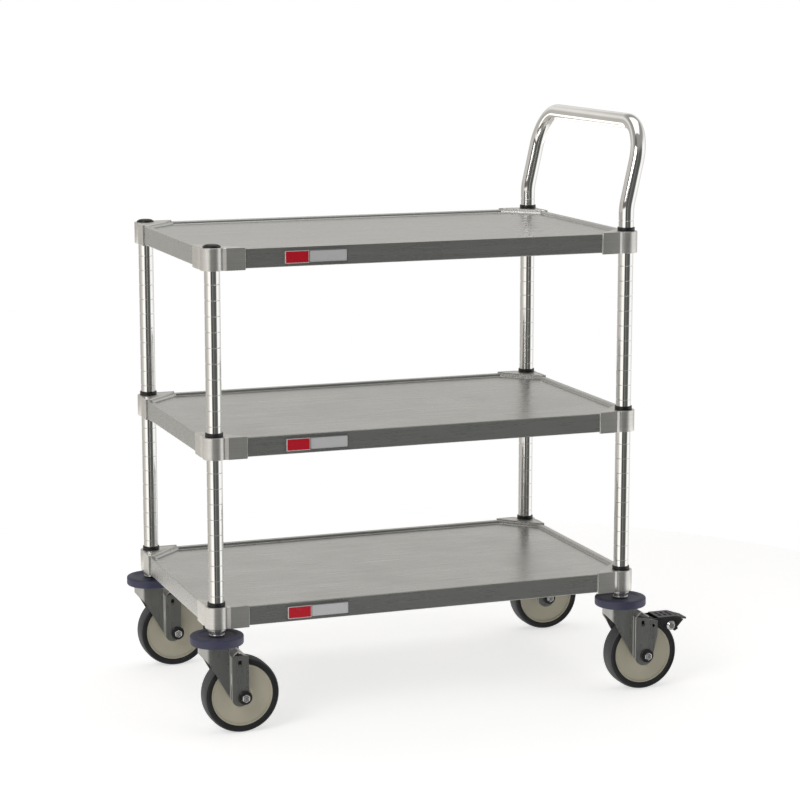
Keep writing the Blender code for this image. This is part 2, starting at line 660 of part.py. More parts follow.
def brake_pedal():
    """Pedal plate with two cheeks that straddle the wheel, and a pivot stub on each cheek."""
    top = PEDAL_TOP_Z - PEDAL_PIVOT_Z
    reach = PEDAL_REACH - PEDAL_PIVOT_X
    start = PEDAL_START_X - PEDAL_PIVOT_X
    root = PEDAL_PIN_RADIUS
    waist = reach * PEDAL_WAIST
    sole = plate([(start, -PEDAL_HALF_WIDTH), (waist, -PEDAL_HALF_WIDTH),
                  (reach, -PEDAL_TIP_HALF_WIDTH), (reach, PEDAL_TIP_HALF_WIDTH),
                  (waist, PEDAL_HALF_WIDTH), (start, PEDAL_HALF_WIDTH)],
                 top - PEDAL_TIP_DROP - 2 * PEDAL_THICKNESS, top)
    side_view = [(start, top), (waist, top), (reach, top - PEDAL_TIP_DROP),
                 (reach, top - PEDAL_TIP_DROP - PEDAL_THICKNESS), (waist, top - PEDAL_THICKNESS),
                 (start, top - PEDAL_THICKNESS)]
    wide = 2 * PEDAL_HALF_WIDTH
    sole = boolean("INTERSECT", sole, plate(side_view, -wide, wide, axis="Y"))
    pieces = []
    shoe_x = WHEEL_TRAIL + shoe_radius() * math.cos(SHOE_ANGLE) - PEDAL_PIVOT_X
    shoe_z = WHEEL_RADIUS + shoe_radius() * math.sin(SHOE_ANGLE) - PEDAL_PIVOT_Z
    cheek = [(-2 * root, top - PEDAL_THICKNESS / 2), (-2 * root, -2 * root), (2 * root, -2 * root),
             (shoe_x - SHOE_THICKNESS, shoe_z - SHOE_THICKNESS / 2),
             (shoe_x + SHOE_THICKNESS, shoe_z - SHOE_THICKNESS / 2),
             (waist, top - PEDAL_THICKNESS / 2)]
    for side in (-1, 1):
        outside = side * (PEDAL_HALF_WIDTH - GAP)
        low, high = sorted((outside, outside - side * CHEEK_THICKNESS))
        pieces.append(plate(cheek, low, high, axis="Y"))
        low, high = sorted((outside - side * CHEEK_THICKNESS / 2, side * PANEL_HALF_WIDTH))
        pieces.append(rod(PEDAL_PIN_RADIUS, low, high, "Y", segments=12))
    return boolean("UNION", sole, *pieces)


def shoe_radius():
    """Wheel axle to the middle of the released brake shoe."""
    return WHEEL_RADIUS + SHOE_TREAD_GAP + SHOE_THICKNESS / 2


def brake_shoe():
    """Curved block between the pedal's cheeks, just off the tread; in the pedal's frame."""
    centre = (WHEEL_TRAIL - PEDAL_PIVOT_X, WHEEL_RADIUS - PEDAL_PIVOT_Z)
    low = SHOE_ANGLE - SHOE_HALF_ANGLE
    high = SHOE_ANGLE + SHOE_HALF_ANGLE
    inner = WHEEL_RADIUS + SHOE_TREAD_GAP
    outline = arc(centre, inner, low, high, 5)
    outline += arc(centre, inner + SHOE_THICKNESS, high, low, 5)
    half = PEDAL_HALF_WIDTH - CHEEK_THICKNESS - 2 * GAP
    return plate(outline, -half, half, axis="Y")


def build_casters():
    """A caster under each post; the two at the handle end have a brake."""
    meshes = {"stem": stem(), "bumper": bumper(), "wheel_core": wheel_core(), "tyre": tyre(),
              "bushing": bushing(), "axle_bolt": axle_bolt(), "axle_nut": axle_nut(),
              "brake_pedal": brake_pedal(), "brake_shoe": brake_shoe()}
    forks = {braked: fork(braked) for braked in (False, True)}
    for corner, (x_sign, y_sign) in CORNERS.items():
        braked = x_sign > 0
        place = (CART_X + x_sign * HALF_X, y_sign * HALF_Y, 0)
        node("stem_" + corner, meshes["stem"], zinc, location=place)
        node("bumper_" + corner, meshes["bumper"], blue_rubber, location=place)
        swivel = axis_point("swivel_axis_" + corner, place)
        node("fork_" + corner, forks[braked], zinc, swivel)
        axle = axis_point("axle_axis_" + corner, (WHEEL_TRAIL, 0, WHEEL_RADIUS), swivel)
        node("bushing_" + corner, meshes["bushing"], zinc, axle)
        node("axle_bolt_" + corner, meshes["axle_bolt"], zinc, axle)
        node("axle_nut_" + corner, meshes["axle_nut"], zinc, axle)
        node("wheel_core_" + corner, meshes["wheel_core"], beige_plastic, axle)
        node("tyre_" + corner, meshes["tyre"], grey_rubber, axle)
        if braked:
            pivot = axis_point("pedal_axis_" + corner, (PEDAL_PIVOT_X, 0, PEDAL_PIVOT_Z), swivel)
            node("brake_pedal_" + corner, meshes["brake_pedal"], black_plastic, pivot)
            node("brake_shoe_" + corner, meshes["brake_shoe"], zinc, pivot)


clear_scene()
CART = new_collection("rolling_pantry_cart")
BENCH = new_collection("cutters")
build_shelves()
build_posts()
build_casters()
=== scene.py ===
"""Looks of the rolling pantry cart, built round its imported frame. Blender 4.5, metres, +Z up."""
import json
import math

import bpy
from mathutils import Matrix, Vector


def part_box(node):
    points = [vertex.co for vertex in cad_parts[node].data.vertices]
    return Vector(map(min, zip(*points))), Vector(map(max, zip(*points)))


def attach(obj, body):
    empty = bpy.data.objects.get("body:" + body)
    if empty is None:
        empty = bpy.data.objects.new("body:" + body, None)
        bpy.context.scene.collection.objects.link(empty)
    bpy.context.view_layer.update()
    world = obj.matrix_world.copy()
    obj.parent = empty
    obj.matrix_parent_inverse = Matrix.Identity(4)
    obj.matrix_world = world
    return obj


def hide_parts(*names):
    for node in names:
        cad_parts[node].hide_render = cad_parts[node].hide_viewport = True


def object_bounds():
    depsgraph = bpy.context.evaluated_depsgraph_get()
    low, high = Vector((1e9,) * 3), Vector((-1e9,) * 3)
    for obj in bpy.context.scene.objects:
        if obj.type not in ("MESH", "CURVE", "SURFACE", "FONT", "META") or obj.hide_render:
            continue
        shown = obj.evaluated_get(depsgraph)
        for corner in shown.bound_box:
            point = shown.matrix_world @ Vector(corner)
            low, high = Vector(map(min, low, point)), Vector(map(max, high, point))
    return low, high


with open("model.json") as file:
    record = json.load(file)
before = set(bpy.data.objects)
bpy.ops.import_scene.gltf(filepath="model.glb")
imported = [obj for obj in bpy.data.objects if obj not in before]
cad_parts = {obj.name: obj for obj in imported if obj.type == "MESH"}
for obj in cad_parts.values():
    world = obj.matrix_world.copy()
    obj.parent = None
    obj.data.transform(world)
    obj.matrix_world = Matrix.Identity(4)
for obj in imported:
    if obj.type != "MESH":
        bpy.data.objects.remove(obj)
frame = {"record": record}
cad_low, cad_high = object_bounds()
bpy.ops.object.select_all(action="DESELECT")

# Where the cart stands in the frame: the four post axes, and each shelf's floor and rim.
low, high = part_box("stem_front_left")
left_x, front_y = (low.x + high.x) / 2, (low.y + high.y) / 2
low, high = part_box("stem_rear_right")
right_x, rear_y = (low.x + high.x) / 2, (low.y + high.y) / 2
middle_x = (left_x + right_x) / 2
corners = {"front_left": (left_x, front_y), "front_right": (right_x, front_y),
           "rear_left": (left_x, rear_y), "rear_right": (right_x, rear_y)}
rim_rise = 0.005
rims = {mount["name"].split("_")[0]: mount["pos_m"][2] + rim_rise
        for mount in frame["record"]["mounts"]}

# ---- Camera, floor and light ---------------------------------------------------------------
# The camera looks at the cart from its front left, a little above the top shelf.
bpy.ops.object.camera_add(location=(middle_x - 1.418, -3.9551, 1.2348),
                          rotation=(math.radians(90 - 9.971), 0, math.radians(-20.154)))
camera = bpy.context.object
camera.data.lens = 110.8
camera.data.sensor_width = 36
bpy.context.scene.camera = camera
bpy.context.scene.view_settings.view_transform = "Standard"

# A plain pale floor under the cart; beyond it there is only white.
bpy.ops.mesh.primitive_circle_add(vertices=96, radius=1.3, fill_type="NGON",
                                  location=(middle_x, 0, cad_low.z - 0.0002))
floor = bpy.context.object
floor.name = "studio_floor"
paint = bpy.data.materials.new("floor_paint")
paint.use_nodes = True
floor_shader = paint.node_tree.nodes["Principled BSDF"]
floor_shader.inputs["Base Color"].default_value = (0.86, 0.86, 0.86, 1)
floor_shader.inputs["Roughness"].default_value = 0.9
floor_shader.inputs["Specular IOR Level"].default_value = 0.1
floor_shader.inputs["Emission Color"].default_value = (1, 1, 1, 1)
floor_shader.inputs["Emission Strength"].default_value = 0.56
floor.data.materials.append(paint)
floor.visible_glossy = False            # metal mirrors the studio, not the floor's white

# The studio round the cart, by compass direction in degrees from +X: grey walls, a bright
# screen to the left and one to the right, and a dark opening ahead of the front rails, so that
# the chrome has something to mirror. Behind the cart it is plain white.
studio_walls = ((-180, (0.62, 0.60, 0.57)), (-170, (0.86, 0.85, 0.83)), (-160, (1.08, 1.06, 1.02)),
                (-133, (1.14, 1.12, 1.08)), (-125, (0.10, 0.10, 0.095)), (-107, (0.05, 0.05, 0.05)),
                (-101, (0.24, 0.24, 0.23)), (-94, (0.12, 0.125, 0.12)), (-75, (0.09, 0.095, 0.09)),
                (-50, (0.09, 0.095, 0.09)), (-38, (0.96, 0.96, 0.96)), (-24, (1.06, 1.06, 1.06)),
                (20, (0.84, 0.84, 0.83)), (40, (0.56, 0.55, 0.53)), (110, (0.50, 0.49, 0.465)),
                (130, (0.44, 0.42, 0.39)), (160, (0.54, 0.52, 0.49)), (180, (0.62, 0.60, 0.57)))
world = bpy.data.worlds.new("studio")
bpy.context.scene.world = world
world.use_nodes = True
sky = world.node_tree
direction = sky.nodes.new("ShaderNodeTexCoord")
split = sky.nodes.new("ShaderNodeSeparateXYZ")
sky.links.new(direction.outputs["Generated"], split.inputs[0])
compass = sky.nodes.new("ShaderNodeMath")
compass.operation = "ARCTAN2"
sky.links.new(split.outputs["Y"], compass.inputs[0])
sky.links.new(split.outputs["X"], compass.inputs[1])
turn_share = sky.nodes.new("ShaderNodeMapRange")
turn_share.inputs["From Min"].default_value = -math.pi
turn_share.inputs["From Max"].default_value = math.pi
sky.links.new(compass.outputs[0], turn_share.inputs["Value"])
walls = sky.nodes.new("ShaderNodeValToRGB")
sky.links.new(turn_share.outputs["Result"], walls.inputs["Fac"])
stops = walls.color_ramp.elements
while len(stops) > 1:
    stops.remove(stops[-1])
stops[0].position = 0
stops[0].color = (*studio_walls[0][1], 1)
for degrees, tone in studio_walls[1:]:
    stop = stops.new((degrees + 180) / 360)
    stop.color = (*tone, 1)
overhead = sky.nodes.new("ShaderNodeMapRange")
overhead.interpolation_type = "SMOOTHSTEP"
overhead.inputs["From Min"].default_value = 0.30
overhead.inputs["From Max"].default_value = 0.70
sky.links.new(split.outputs["Z"], overhead.inputs["Value"])
ceiling = sky.nodes.new("ShaderNodeMix")
ceiling.data_type = "RGBA"
ceiling.inputs["B"].default_value = (0.30, 0.295, 0.285, 1)
sky.links.new(overhead.outputs["Result"], ceiling.inputs["Factor"])
sky.links.new(walls.outputs["Color"], ceiling.inputs["A"])
# The wall behind gets paler with height, and the shelf floors mirror it. The casters are low
# enough to mirror the pale floor behind and beside the cart. Above the left screen it is dark.
surroundings = ceiling.outputs["Result"]
for tone, limits in (((0.80, 0.785, 0.76), (("Y", 0.35, 0.75), ("Z", 0.06, 0.30), ("Z", 0.50, 0.34))),
                     ((1.60, 1.56, 1.50),
                      (("Y", -0.35, 0.05), ("Z", -0.252, -0.285), ("Z", -0.50, -0.34))),
                     ((0.14, 0.135, 0.13),
                      (("X", -0.40, -0.62), ("Y", 0.10, -0.05), ("Z", -0.01, 0.05)))):
    masks = []
    for axis, start, end in limits:
        mask = sky.nodes.new("ShaderNodeMapRange")
        mask.interpolation_type = "SMOOTHSTEP"
        mask.inputs["From Min"].default_value = start
        mask.inputs["From Max"].default_value = end
        sky.links.new(split.outputs[axis], mask.inputs["Value"])
        masks.append(mask.outputs["Result"])
    share = masks[0]
    for mask in masks[1:]:
        both = sky.nodes.new("ShaderNodeMath")
        both.operation = "MULTIPLY"
        sky.links.new(share, both.inputs[0])
        sky.links.new(mask, both.inputs[1])
        share = both.outputs[0]
    patch = sky.nodes.new("ShaderNodeMix")
    patch.data_type = "RGBA"
    patch.inputs["B"].default_value = (*tone, 1)
    sky.links.new(share, patch.inputs["Factor"])
    sky.links.new(surroundings, patch.inputs["A"])
    surroundings = patch.outputs["Result"]
seen = sky.nodes.new("ShaderNodeLightPath")
backdrop = sky.nodes.new("ShaderNodeMix")
backdrop.data_type = "RGBA"
backdrop.inputs["B"].default_value = (1, 1, 1, 1)
sky.links.new(seen.outputs["Is Camera Ray"], backdrop.inputs["Factor"])
sky.links.new(surroundings, backdrop.inputs["A"])
sky.links.new(backdrop.outputs["Result"], sky.nodes["Background"].inputs["Color"])

for name, place, size, watts in (("left_light", (-2.6, -1.9, 2.4), 1.8, 34),
                                 ("top_light", (0.2, 0.4, 3.4), 2.6, 20)):
    bpy.ops.object.light_add(type="AREA", location=place)
    lamp = bpy.context.object
    lamp.name = name
    lamp.data.size = size
    lamp.data.energy = watts
    aim = Vector((0, 0, 0.5)) - lamp.location
    lamp.rotation_euler = aim.to_track_quat("-Z", "Y").to_euler()


# ---- Posts ---------------------------------------------------------------------------------
# Two plain posts of one-inch chromed steel tube at the end away from the handle. They are
# rolled with a ring groove every inch, which the shelf sleeves snap into.
def draw_line(name, points):
    """A line drawn point by point in edit mode, and left there with its last point selected."""
    bpy.ops.object.select_all(action="DESELECT")
    bpy.ops.mesh.primitive_plane_add(size=0.001, location=points[0])
    piece = bpy.context.object
    piece.name = name
    bpy.ops.object.mode_set(mode="EDIT")
    bpy.ops.mesh.select_mode(type="VERT")
    bpy.ops.mesh.merge(type="CENTER")
    for start, end in zip(points, points[1:]):
        bpy.ops.mesh.extrude_vertices_move(
            TRANSFORM_OT_translate={"value": Vector(end) - Vector(start)})
    return piece


def turned(name, profile, centre, axis="Z", sides=64):
    """A piece turned from (radius, height) points about an axis: its side is drawn, then spun."""
    centre = Vector(centre)
    if axis == "Z":
        points = [centre + Vector((radius, 0, height)) for radius, height in profile]
    else:
        points = [centre + Vector((radius, height, 0)) for radius, height in profile]
    piece = draw_line(name, points)
    bpy.ops.mesh.select_all(action="SELECT")
    bpy.ops.mesh.spin(steps=sides, angle=2 * math.pi, center=centre,
                      axis=(0, 0, 1) if axis == "Z" else (0, 1, 0))
    close_up(piece)
    return piece


def close_up(piece, bevel=0.0, wall=0.0, steps=2, smooth=35):
    """Merges a piece's doubles, turns its faces out, and gives it a wall and rounded edges."""
    bpy.ops.mesh.select_all(action="SELECT")
    bpy.ops.mesh.remove_doubles(threshold=0.000005)
    bpy.ops.mesh.normals_make_consistent(inside=False)
    bpy.ops.object.mode_set(mode="OBJECT")
    bpy.ops.object.transform_apply(location=True, rotation=True, scale=True)
    if wall:
        outermost = min(piece.data.polygons, key=lambda face: face.center.x)
        if outermost.normal.x > 0.5:
            piece.data.flip_normals()
        thickness = piece.modifiers.new("Wall", "SOLIDIFY")
        thickness.thickness = wall
        thickness.offset = -1
        thickness.use_even_offset = True
        bpy.ops.object.modifier_apply(modifier=thickness.name)
    if bevel:
        rounding = piece.modifiers.new("Rounding", "BEVEL")
        rounding.width = bevel
        rounding.segments = steps
        rounding.angle_limit = math.radians(30)
        bpy.ops.object.modifier_apply(modifier=rounding.name)
    bpy.ops.object.shade_smooth_by_angle(angle=math.radians(smooth))
    if bevel:
        evening = piece.modifiers.new("Evening", "WEIGHTED_NORMAL")
        evening.keep_sharp = True
        bpy.ops.object.modifier_apply(modifier=evening.name)


def copy_of(piece, name, offset=(0, 0, 0), flip_x=False, flip_y=False, about=(0, 0)):
    """A copy with a mesh of its own, mirrored about a point if asked, then moved."""
    bpy.ops.object.select_all(action="DESELECT")
    piece.select_set(True)
    bpy.context.view_layer.objects.active = piece
    bpy.ops.object.duplicate()
    twin = bpy.context.object
    twin.name = name
    if flip_x or flip_y:
        centre = Matrix.Translation((about[0], about[1], 0))
        flip = Matrix.Diagonal((-1 if flip_x else 1, -1 if flip_y else 1, 1, 1))
        twin.data.transform(centre @ flip @ centre.inverted())
        if flip_x != flip_y:
            twin.data.flip_normals()
    twin.data.transform(Matrix.Translation(offset))
    return twin


def new_finish(name):
    """A new material and its shader."""
    finish = bpy.data.materials.new(name)
    finish.use_nodes = True
    return finish, finish.node_tree, finish.node_tree.nodes["Principled BSDF"]


def speckle(tree, scale, stretch=(1, 1, 1), detail=4.0, rough=0.6):
    """Noise in object space, stretched along the axes; gives its value socket."""
    where = tree.nodes.new("ShaderNodeTexCoord")
    turn = tree.nodes.new("ShaderNodeMapping")
    turn.inputs["Scale"].default_value = stretch
    tree.links.new(where.outputs["Object"], turn.inputs["Vector"])
    noise = tree.nodes.new("ShaderNodeTexNoise")
    noise.inputs["Scale"].default_value = scale
    noise.inputs["Detail"].default_value = detail
    noise.inputs["Roughness"].default_value = rough
    tree.links.new(turn.outputs["Vector"], noise.inputs["Vector"])
    return noise.outputs["Fac"]


def spread(tree, value, low, high, start=0.3, end=0.7):
    """A value between start and end mapped to low and high."""
    ramp = tree.nodes.new("ShaderNodeMapRange")
    ramp.inputs["From Min"].default_value = start
    ramp.inputs["From Max"].default_value = end
    ramp.inputs["To Min"].default_value = low
    ramp.inputs["To Max"].default_value = high
    tree.links.new(value, ramp.inputs["Value"])
    return ramp.outputs["Result"]


def blend_colours(tree, factor, first, second):
    """Two colours mixed by a value."""
    mix = tree.nodes.new("ShaderNodeMix")
    mix.data_type = "RGBA"
    mix.inputs["A"].default_value = (*first, 1)
    mix.inputs["B"].default_value = (*second, 1)
    tree.links.new(factor, mix.inputs["Factor"])
    return mix.outputs["Result"]


def relief(tree, shader, height, distance, strength=1.0):
    """A height pattern in the surface."""
    bump = tree.nodes.new("ShaderNodeBump")
    bump.inputs["Strength"].default_value = strength
    bump.inputs["Distance"].default_value = distance
    tree.links.new(height, bump.inputs["Height"])
    tree.links.new(bump.outputs["Normal"], shader.inputs["Normal"])


def dress(piece, finish, body, replaced=None):
    """Gives a piece its finish and its body, and hides the frame node that it stands for."""
    piece.data.materials.clear()
    piece.data.materials.append(finish)
    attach(piece, body)
    if replaced:
        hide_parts(replaced)


def chrome_plate():
    """Bright chrome with faint drawing lines, finger haze and fine wear."""
    finish, tree, shader = new_finish("chrome_plate")
    shader.inputs["Metallic"].default_value = 1.0
    haze = speckle(tree, 14, detail=6)
    tree.links.new(blend_colours(tree, spread(tree, haze, 0, 1), (0.97, 0.96, 0.94),
                                 (0.90, 0.89, 0.87)), shader.inputs["Base Color"])
    tree.links.new(spread(tree, haze, 0.05, 0.13), shader.inputs["Roughness"])
    relief(tree, shader, speckle(tree, 90, (6, 6, 0.15)), 0.00002, 0.35)
    return finish


chrome = chrome_plate()
post_radius = 0.0127
groove_pitch = 0.0254
groove_depth = 0.0005
groove_half = 0.0009
post_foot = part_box("post_front_left")[0].z
post_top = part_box("post_front_left")[1].z
first_groove = 0.1810
groove_heights = [first_groove + i * groove_pitch for i in range(26)]
post_wall = 0.0016


def grooved(radius, start, end):
    """The outer side of a post from one height to another, with every groove on the way."""
    points = [(radius, start)]
    for height in groove_heights:
        if start + groove_pitch / 4 < height < end - groove_pitch / 4:
            points += [(radius, height - groove_half), (radius - groove_depth, height - groove_half / 3),
                       (radius - groove_depth, height + groove_half / 3), (radius, height + groove_half)]
    return points + [(radius, end)]


bore = post_radius - post_wall
post_profile = grooved(post_radius, post_foot, post_top)
post_profile += [(bore, post_top), (bore, post_foot), (post_radius, post_foot)]
for end in ("front_left", "rear_left"):
    post = turned(f"grooved_post_{end}", post_profile, (*corners[end], 0), sides=64)
    dress(post, chrome, "cart_frame", f"post_{end}")

# ---- Handle --------------------------------------------------------------------------------
# One chromed tube is both posts at the push end: it runs straight up through the shelves, leans
# outward, and turns over into a crossbar. Its legs are grooved up to just above the top shelf.
handle_low, handle_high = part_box("handle_post")
crossbar_z = handle_high.z - post_radius
lean = math.radians(12.4)
lean_height = 0.838
lean_radius = 0.090
corner_radius = 0.065
straight_end = lean_height - lean_radius * math.tan(lean / 2)
foot = Vector((right_x, rear_y, handle_low.z))

bpy.ops.mesh.primitive_circle_add(vertices=64, radius=post_radius, location=foot)
handle = bpy.context.object
handle.name = "handle_tube"
bpy.ops.object.mode_set(mode="EDIT")
bpy.ops.mesh.select_all(action="SELECT")
ring_centre = foot.copy()


def push_ring(step):
    """Extrudes the open end of the tube along a step."""
    global ring_centre
    bpy.ops.mesh.extrude_region_move(TRANSFORM_OT_translate={"value": step})
    ring_centre = ring_centre + Vector(step)


def squeeze_ring(factor):
    """Scales the open end of an upright tube about its own centre."""
    bpy.ops.transform.resize(value=(factor, factor, 1), center_override=ring_centre)


def grooved_run(end):
    """Extrudes an upright run to a height, up or down, with its grooves."""
    way = 1 if end > ring_centre.z else -1
    for height in (groove_heights if way > 0 else reversed(groove_heights)):
        near = height - way * groove_half
        if (near - ring_centre.z) * way < groove_pitch / 5 or (end - height) * way < 0.006:
            continue
        push_ring((0, 0, near - ring_centre.z))
        push_ring((0, 0, way * groove_half * 2 / 3))
        squeeze_ring(1 - groove_depth / post_radius)
        push_ring((0, 0, way * groove_half * 2 / 3))
        push_ring((0, 0, way * groove_half * 2 / 3))
        squeeze_ring(1 / (1 - groove_depth / post_radius))
    push_ring((0, 0, end - ring_centre.z))


def bend_ring(pivot, axis, angle, steps):
    """Spins the open end of the tube round a pivot."""
    global ring_centre
    bpy.ops.mesh.spin(steps=steps, angle=-angle, center=pivot, axis=axis)
    turn = Matrix.Rotation(angle, 3, axis)
    ring_centre = Vector(pivot) + turn @ (ring_centre - Vector(pivot))


slope = Vector((math.sin(lean), 0, math.cos(lean)))
out = Vector((math.cos(lean), 0, -math.sin(lean)))
leg_length = (crossbar_z - lean_height) / math.cos(lean)
grooved_run(straight_end)
bend_ring((right_x + lean_radius, rear_y, straight_end), Vector((0, 1, 0)), lean, 10)
leg_start = Vector((right_x, rear_y, lean_height)) + slope * (lean_height - straight_end)
leg_end = Vector((right_x, rear_y, lean_height)) + slope * (leg_length - corner_radius)
push_ring(leg_end - ring_centre)
bend_ring(ring_centre + Vector((0, -corner_radius, 0)), out, math.pi / 2, 20)
push_ring((0, front_y + corner_radius - ring_centre.y, 0))
bend_ring(ring_centre - slope * corner_radius, out, math.pi / 2, 20)
push_ring(Vector((right_x, front_y, lean_height)) + slope * (lean_height - straight_end)
          - ring_centre)
bend_ring((right_x + lean_radius, front_y, straight_end), Vector((0, 1, 0)), -lean, 10)
grooved_run(handle_low.z)
close_up(handle, wall=post_wall)
dress(handle, chrome, "cart_frame", "handle_post")

# ---- Shelf pans ----------------------------------------------------------------------------
# Each shelf is pressed from one stainless sheet: a flat floor, a raised rim with cut corners, a
# skirt folded down all round and a hem turned in under it. The floor is brushed lengthwise.
rail_out = 0.0157
rail_height = 0.0320
rim_width = 0.0100
rim_slope = 0.0010
hem_width = 0.0085
corner_cut = 0.0620
sheet = 0.0012
bend = 0.0016


def brushed_steel(name, grain, light, dark, smooth, rough, lines=420, metal=0.88):
    """Stainless steel brushed along one axis, with faint smears and scattered fine scratches."""
    finish, tree, shader = new_finish(name)
    shader.inputs["Metallic"].default_value = metal
    strokes = speckle(tree, lines, grain, detail=3)
    smears = speckle(tree, 9, detail=5, rough=0.65)
    long_strokes = speckle(tree, lines / 6, grain, detail=2)
    tone = tree.nodes.new("ShaderNodeMath")
    tone.operation = "MULTIPLY_ADD"
    tone.inputs[1].default_value = 0.45
    tree.links.new(smears, tone.inputs[0])
    tree.links.new(spread(tree, long_strokes, 0.0, 0.55), tone.inputs[2])
    tree.links.new(blend_colours(tree, tone.outputs[0], light, dark), shader.inputs["Base Color"])
    blur = tree.nodes.new("ShaderNodeMath")
    blur.operation = "MULTIPLY_ADD"
    blur.inputs[1].default_value = rough - smooth
    tree.links.new(spread(tree, strokes, 0.0, 1.0), blur.inputs[0])
    tree.links.new(spread(tree, smears, smooth - 0.02, smooth + 0.03), blur.inputs[2])
    tree.links.new(blur.outputs[0], shader.inputs["Roughness"])
    relief(tree, shader, strokes, 0.00003, 0.3)
    return finish


pan_steel = brushed_steel("pan_steel", (0.02, 1, 1), (0.60, 0.60, 0.58), (0.54, 0.54, 0.52),
                          0.24, 0.34)


def pressed_pan(name, rim):
    """One pan: a sheet with its corners cut, its floor pressed down, and its edge folded under."""
    bpy.ops.object.select_all(action="DESELECT")
    bpy.ops.mesh.primitive_plane_add(size=1, location=(middle_x, 0, rim))
    pan = bpy.context.object
    pan.name = name
    bpy.ops.object.mode_set(mode="EDIT")
    bpy.ops.mesh.select_all(action="SELECT")
    length = right_x - left_x + 2 * rail_out
    width = rear_y - front_y + 2 * rail_out
    bpy.ops.transform.resize(value=(length, width, 1), center_override=(middle_x, 0, rim))
    bpy.ops.mesh.bevel(offset=corner_cut, offset_type="OFFSET", segments=1, affect="VERTICES")
    bpy.ops.mesh.select_all(action="SELECT")
    bpy.ops.mesh.region_to_loop()
    bpy.ops.mesh.extrude_edges_move(TRANSFORM_OT_translate={"value": (0, 0, -rail_height)})
    bpy.ops.mesh.extrude_edges_move()
    bpy.ops.transform.resize(value=(1 - 2 * hem_width / length, 1 - 2 * hem_width / width, 1),
                             center_override=(middle_x, 0, rim))
    pick(pan, "FACE", lambda place, normal: place.z > rim - 0.0001)
    bpy.ops.mesh.inset(thickness=rim_width)
    bpy.ops.mesh.inset(thickness=rim_slope, depth=-rim_rise)
    bpy.ops.mesh.select_all(action="SELECT")
    bpy.ops.mesh.normals_make_consistent(inside=False)
    pick(pan, "EDGE", lambda place, normal: place.z > rim - rail_height - 0.0001)
    bpy.ops.mesh.bevel(offset=bend, segments=3, affect="EDGES")
    close_up(pan, wall=sheet)
    evening = pan.modifiers.new("Evening", "WEIGHTED_NORMAL")
    evening.keep_sharp = True
    bpy.ops.object.modifier_apply(modifier=evening.name)
    return pan


def pick(piece, kind, wanted):
    """Selects the faces, edges or vertices of a piece in edit mode whose place passes a test."""
    bpy.ops.mesh.select_all(action="DESELECT")
    bpy.ops.mesh.select_mode(type=kind)
    bpy.ops.object.mode_set(mode="OBJECT")
    mesh = piece.data
    world = piece.matrix_world
    if kind == "FACE":
        for face in mesh.polygons:
            face.select = wanted(world @ face.center, face.normal)
    elif kind == "EDGE":
        for edge in mesh.edges:
            ends = [world @ mesh.vertices[i].co for i in edge.vertices]
            edge.select = wanted((ends[0] + ends[1]) / 2, (ends[1] - ends[0]).normalized())
    else:
        for vertex in mesh.vertices:
            vertex.select = wanted(world @ vertex.co, vertex.normal)
    bpy.ops.object.mode_set(mode="EDIT")


top_pan = pressed_pan("pan_top", rims["top"])
dress(top_pan, pan_steel, "cart_frame", "shelf_top")
for level in ("middle", "bottom"):
    pan = copy_of(top_pan, "pan_" + level, (0, 0, rims[level] - rims["top"]))
    dress(pan, pan_steel, "cart_frame", "shelf_" + level)

# ---- Corner castings -----------------------------------------------------------------------
# A satin steel casting is welded into each corner of a shelf: a collar bored for the post's
# sleeve, a wing along each rail, and a flat gusset that closes the cut corner of the pan.
collar_radius = 0.01905
wing_reach = 0.0508
wing_face = 0.0182
wing_wall = 0.0045
casting_rise = 0.0022
casting_height = 0.0366
bore_radius = 0.0146
valley = (0.0116, 0.0151)
gusset_thickness = casting_rise + rim_rise
casting_steel = brushed_steel("casting_steel", (1, 1, 30), (0.80, 0.785, 0.75),
                              (0.70, 0.685, 0.655), 0.30, 0.40, lines=60, metal=0.84)
low_corner = Vector((left_x, front_y, rims["top"] + casting_rise))


def arc_points(centre, radius, start, end, steps):
    """Points on a level arc, from one angle to another in degrees, both ends included."""
    angles = [math.radians(start + (end - start) * i / steps) for i in range(steps + 1)]
    return [(centre[0] + radius * math.cos(a), centre[1] + radius * math.sin(a))
            for a in angles]


# Outline seen from above, with the post at the origin and the wings running to +X and +Y.
outer_face = [(wing_reach, -wing_face), (0.0196, -wing_face), (0.0188, -0.0180),
              (0.0136, -0.0152), (0.0126, -0.0150), (valley[0], -valley[1])]
sweep = math.degrees(math.atan2(-valley[1], valley[0]))
collar_arc = arc_points((0, 0), collar_radius, sweep - 6, -264 - sweep, 22)
inner_wing = wing_face - wing_wall
mirror_face = [(y, x) for x, y in reversed(outer_face)]
inner_arc = arc_points((0, 0), collar_radius, 180 - 46, -44, 12)
outline = outer_face + collar_arc + mirror_face
outline += [(-inner_wing, wing_reach), (-inner_wing, 0.0132)] + inner_arc[1:-1]
outline += [(0.0132, -inner_wing), (wing_reach, -inner_wing)]
casting = draw_line("casting_top_front_left",
                    [low_corner + Vector((x, y, 0)) for x, y in outline + outline[:1]])
bpy.ops.mesh.select_all(action="SELECT")
bpy.ops.mesh.remove_doubles(threshold=0.000005)
bpy.ops.mesh.primitive_circle_add(vertices=48, radius=bore_radius, location=low_corner)
bpy.ops.mesh.select_all(action="SELECT")
bpy.ops.mesh.fill()
bpy.ops.mesh.select_all(action="SELECT")
bpy.ops.mesh.extrude_region_move(TRANSFORM_OT_translate={"value": (0, 0, -casting_height)})
close_up(casting, bevel=0.0010, steps=3, smooth=24)

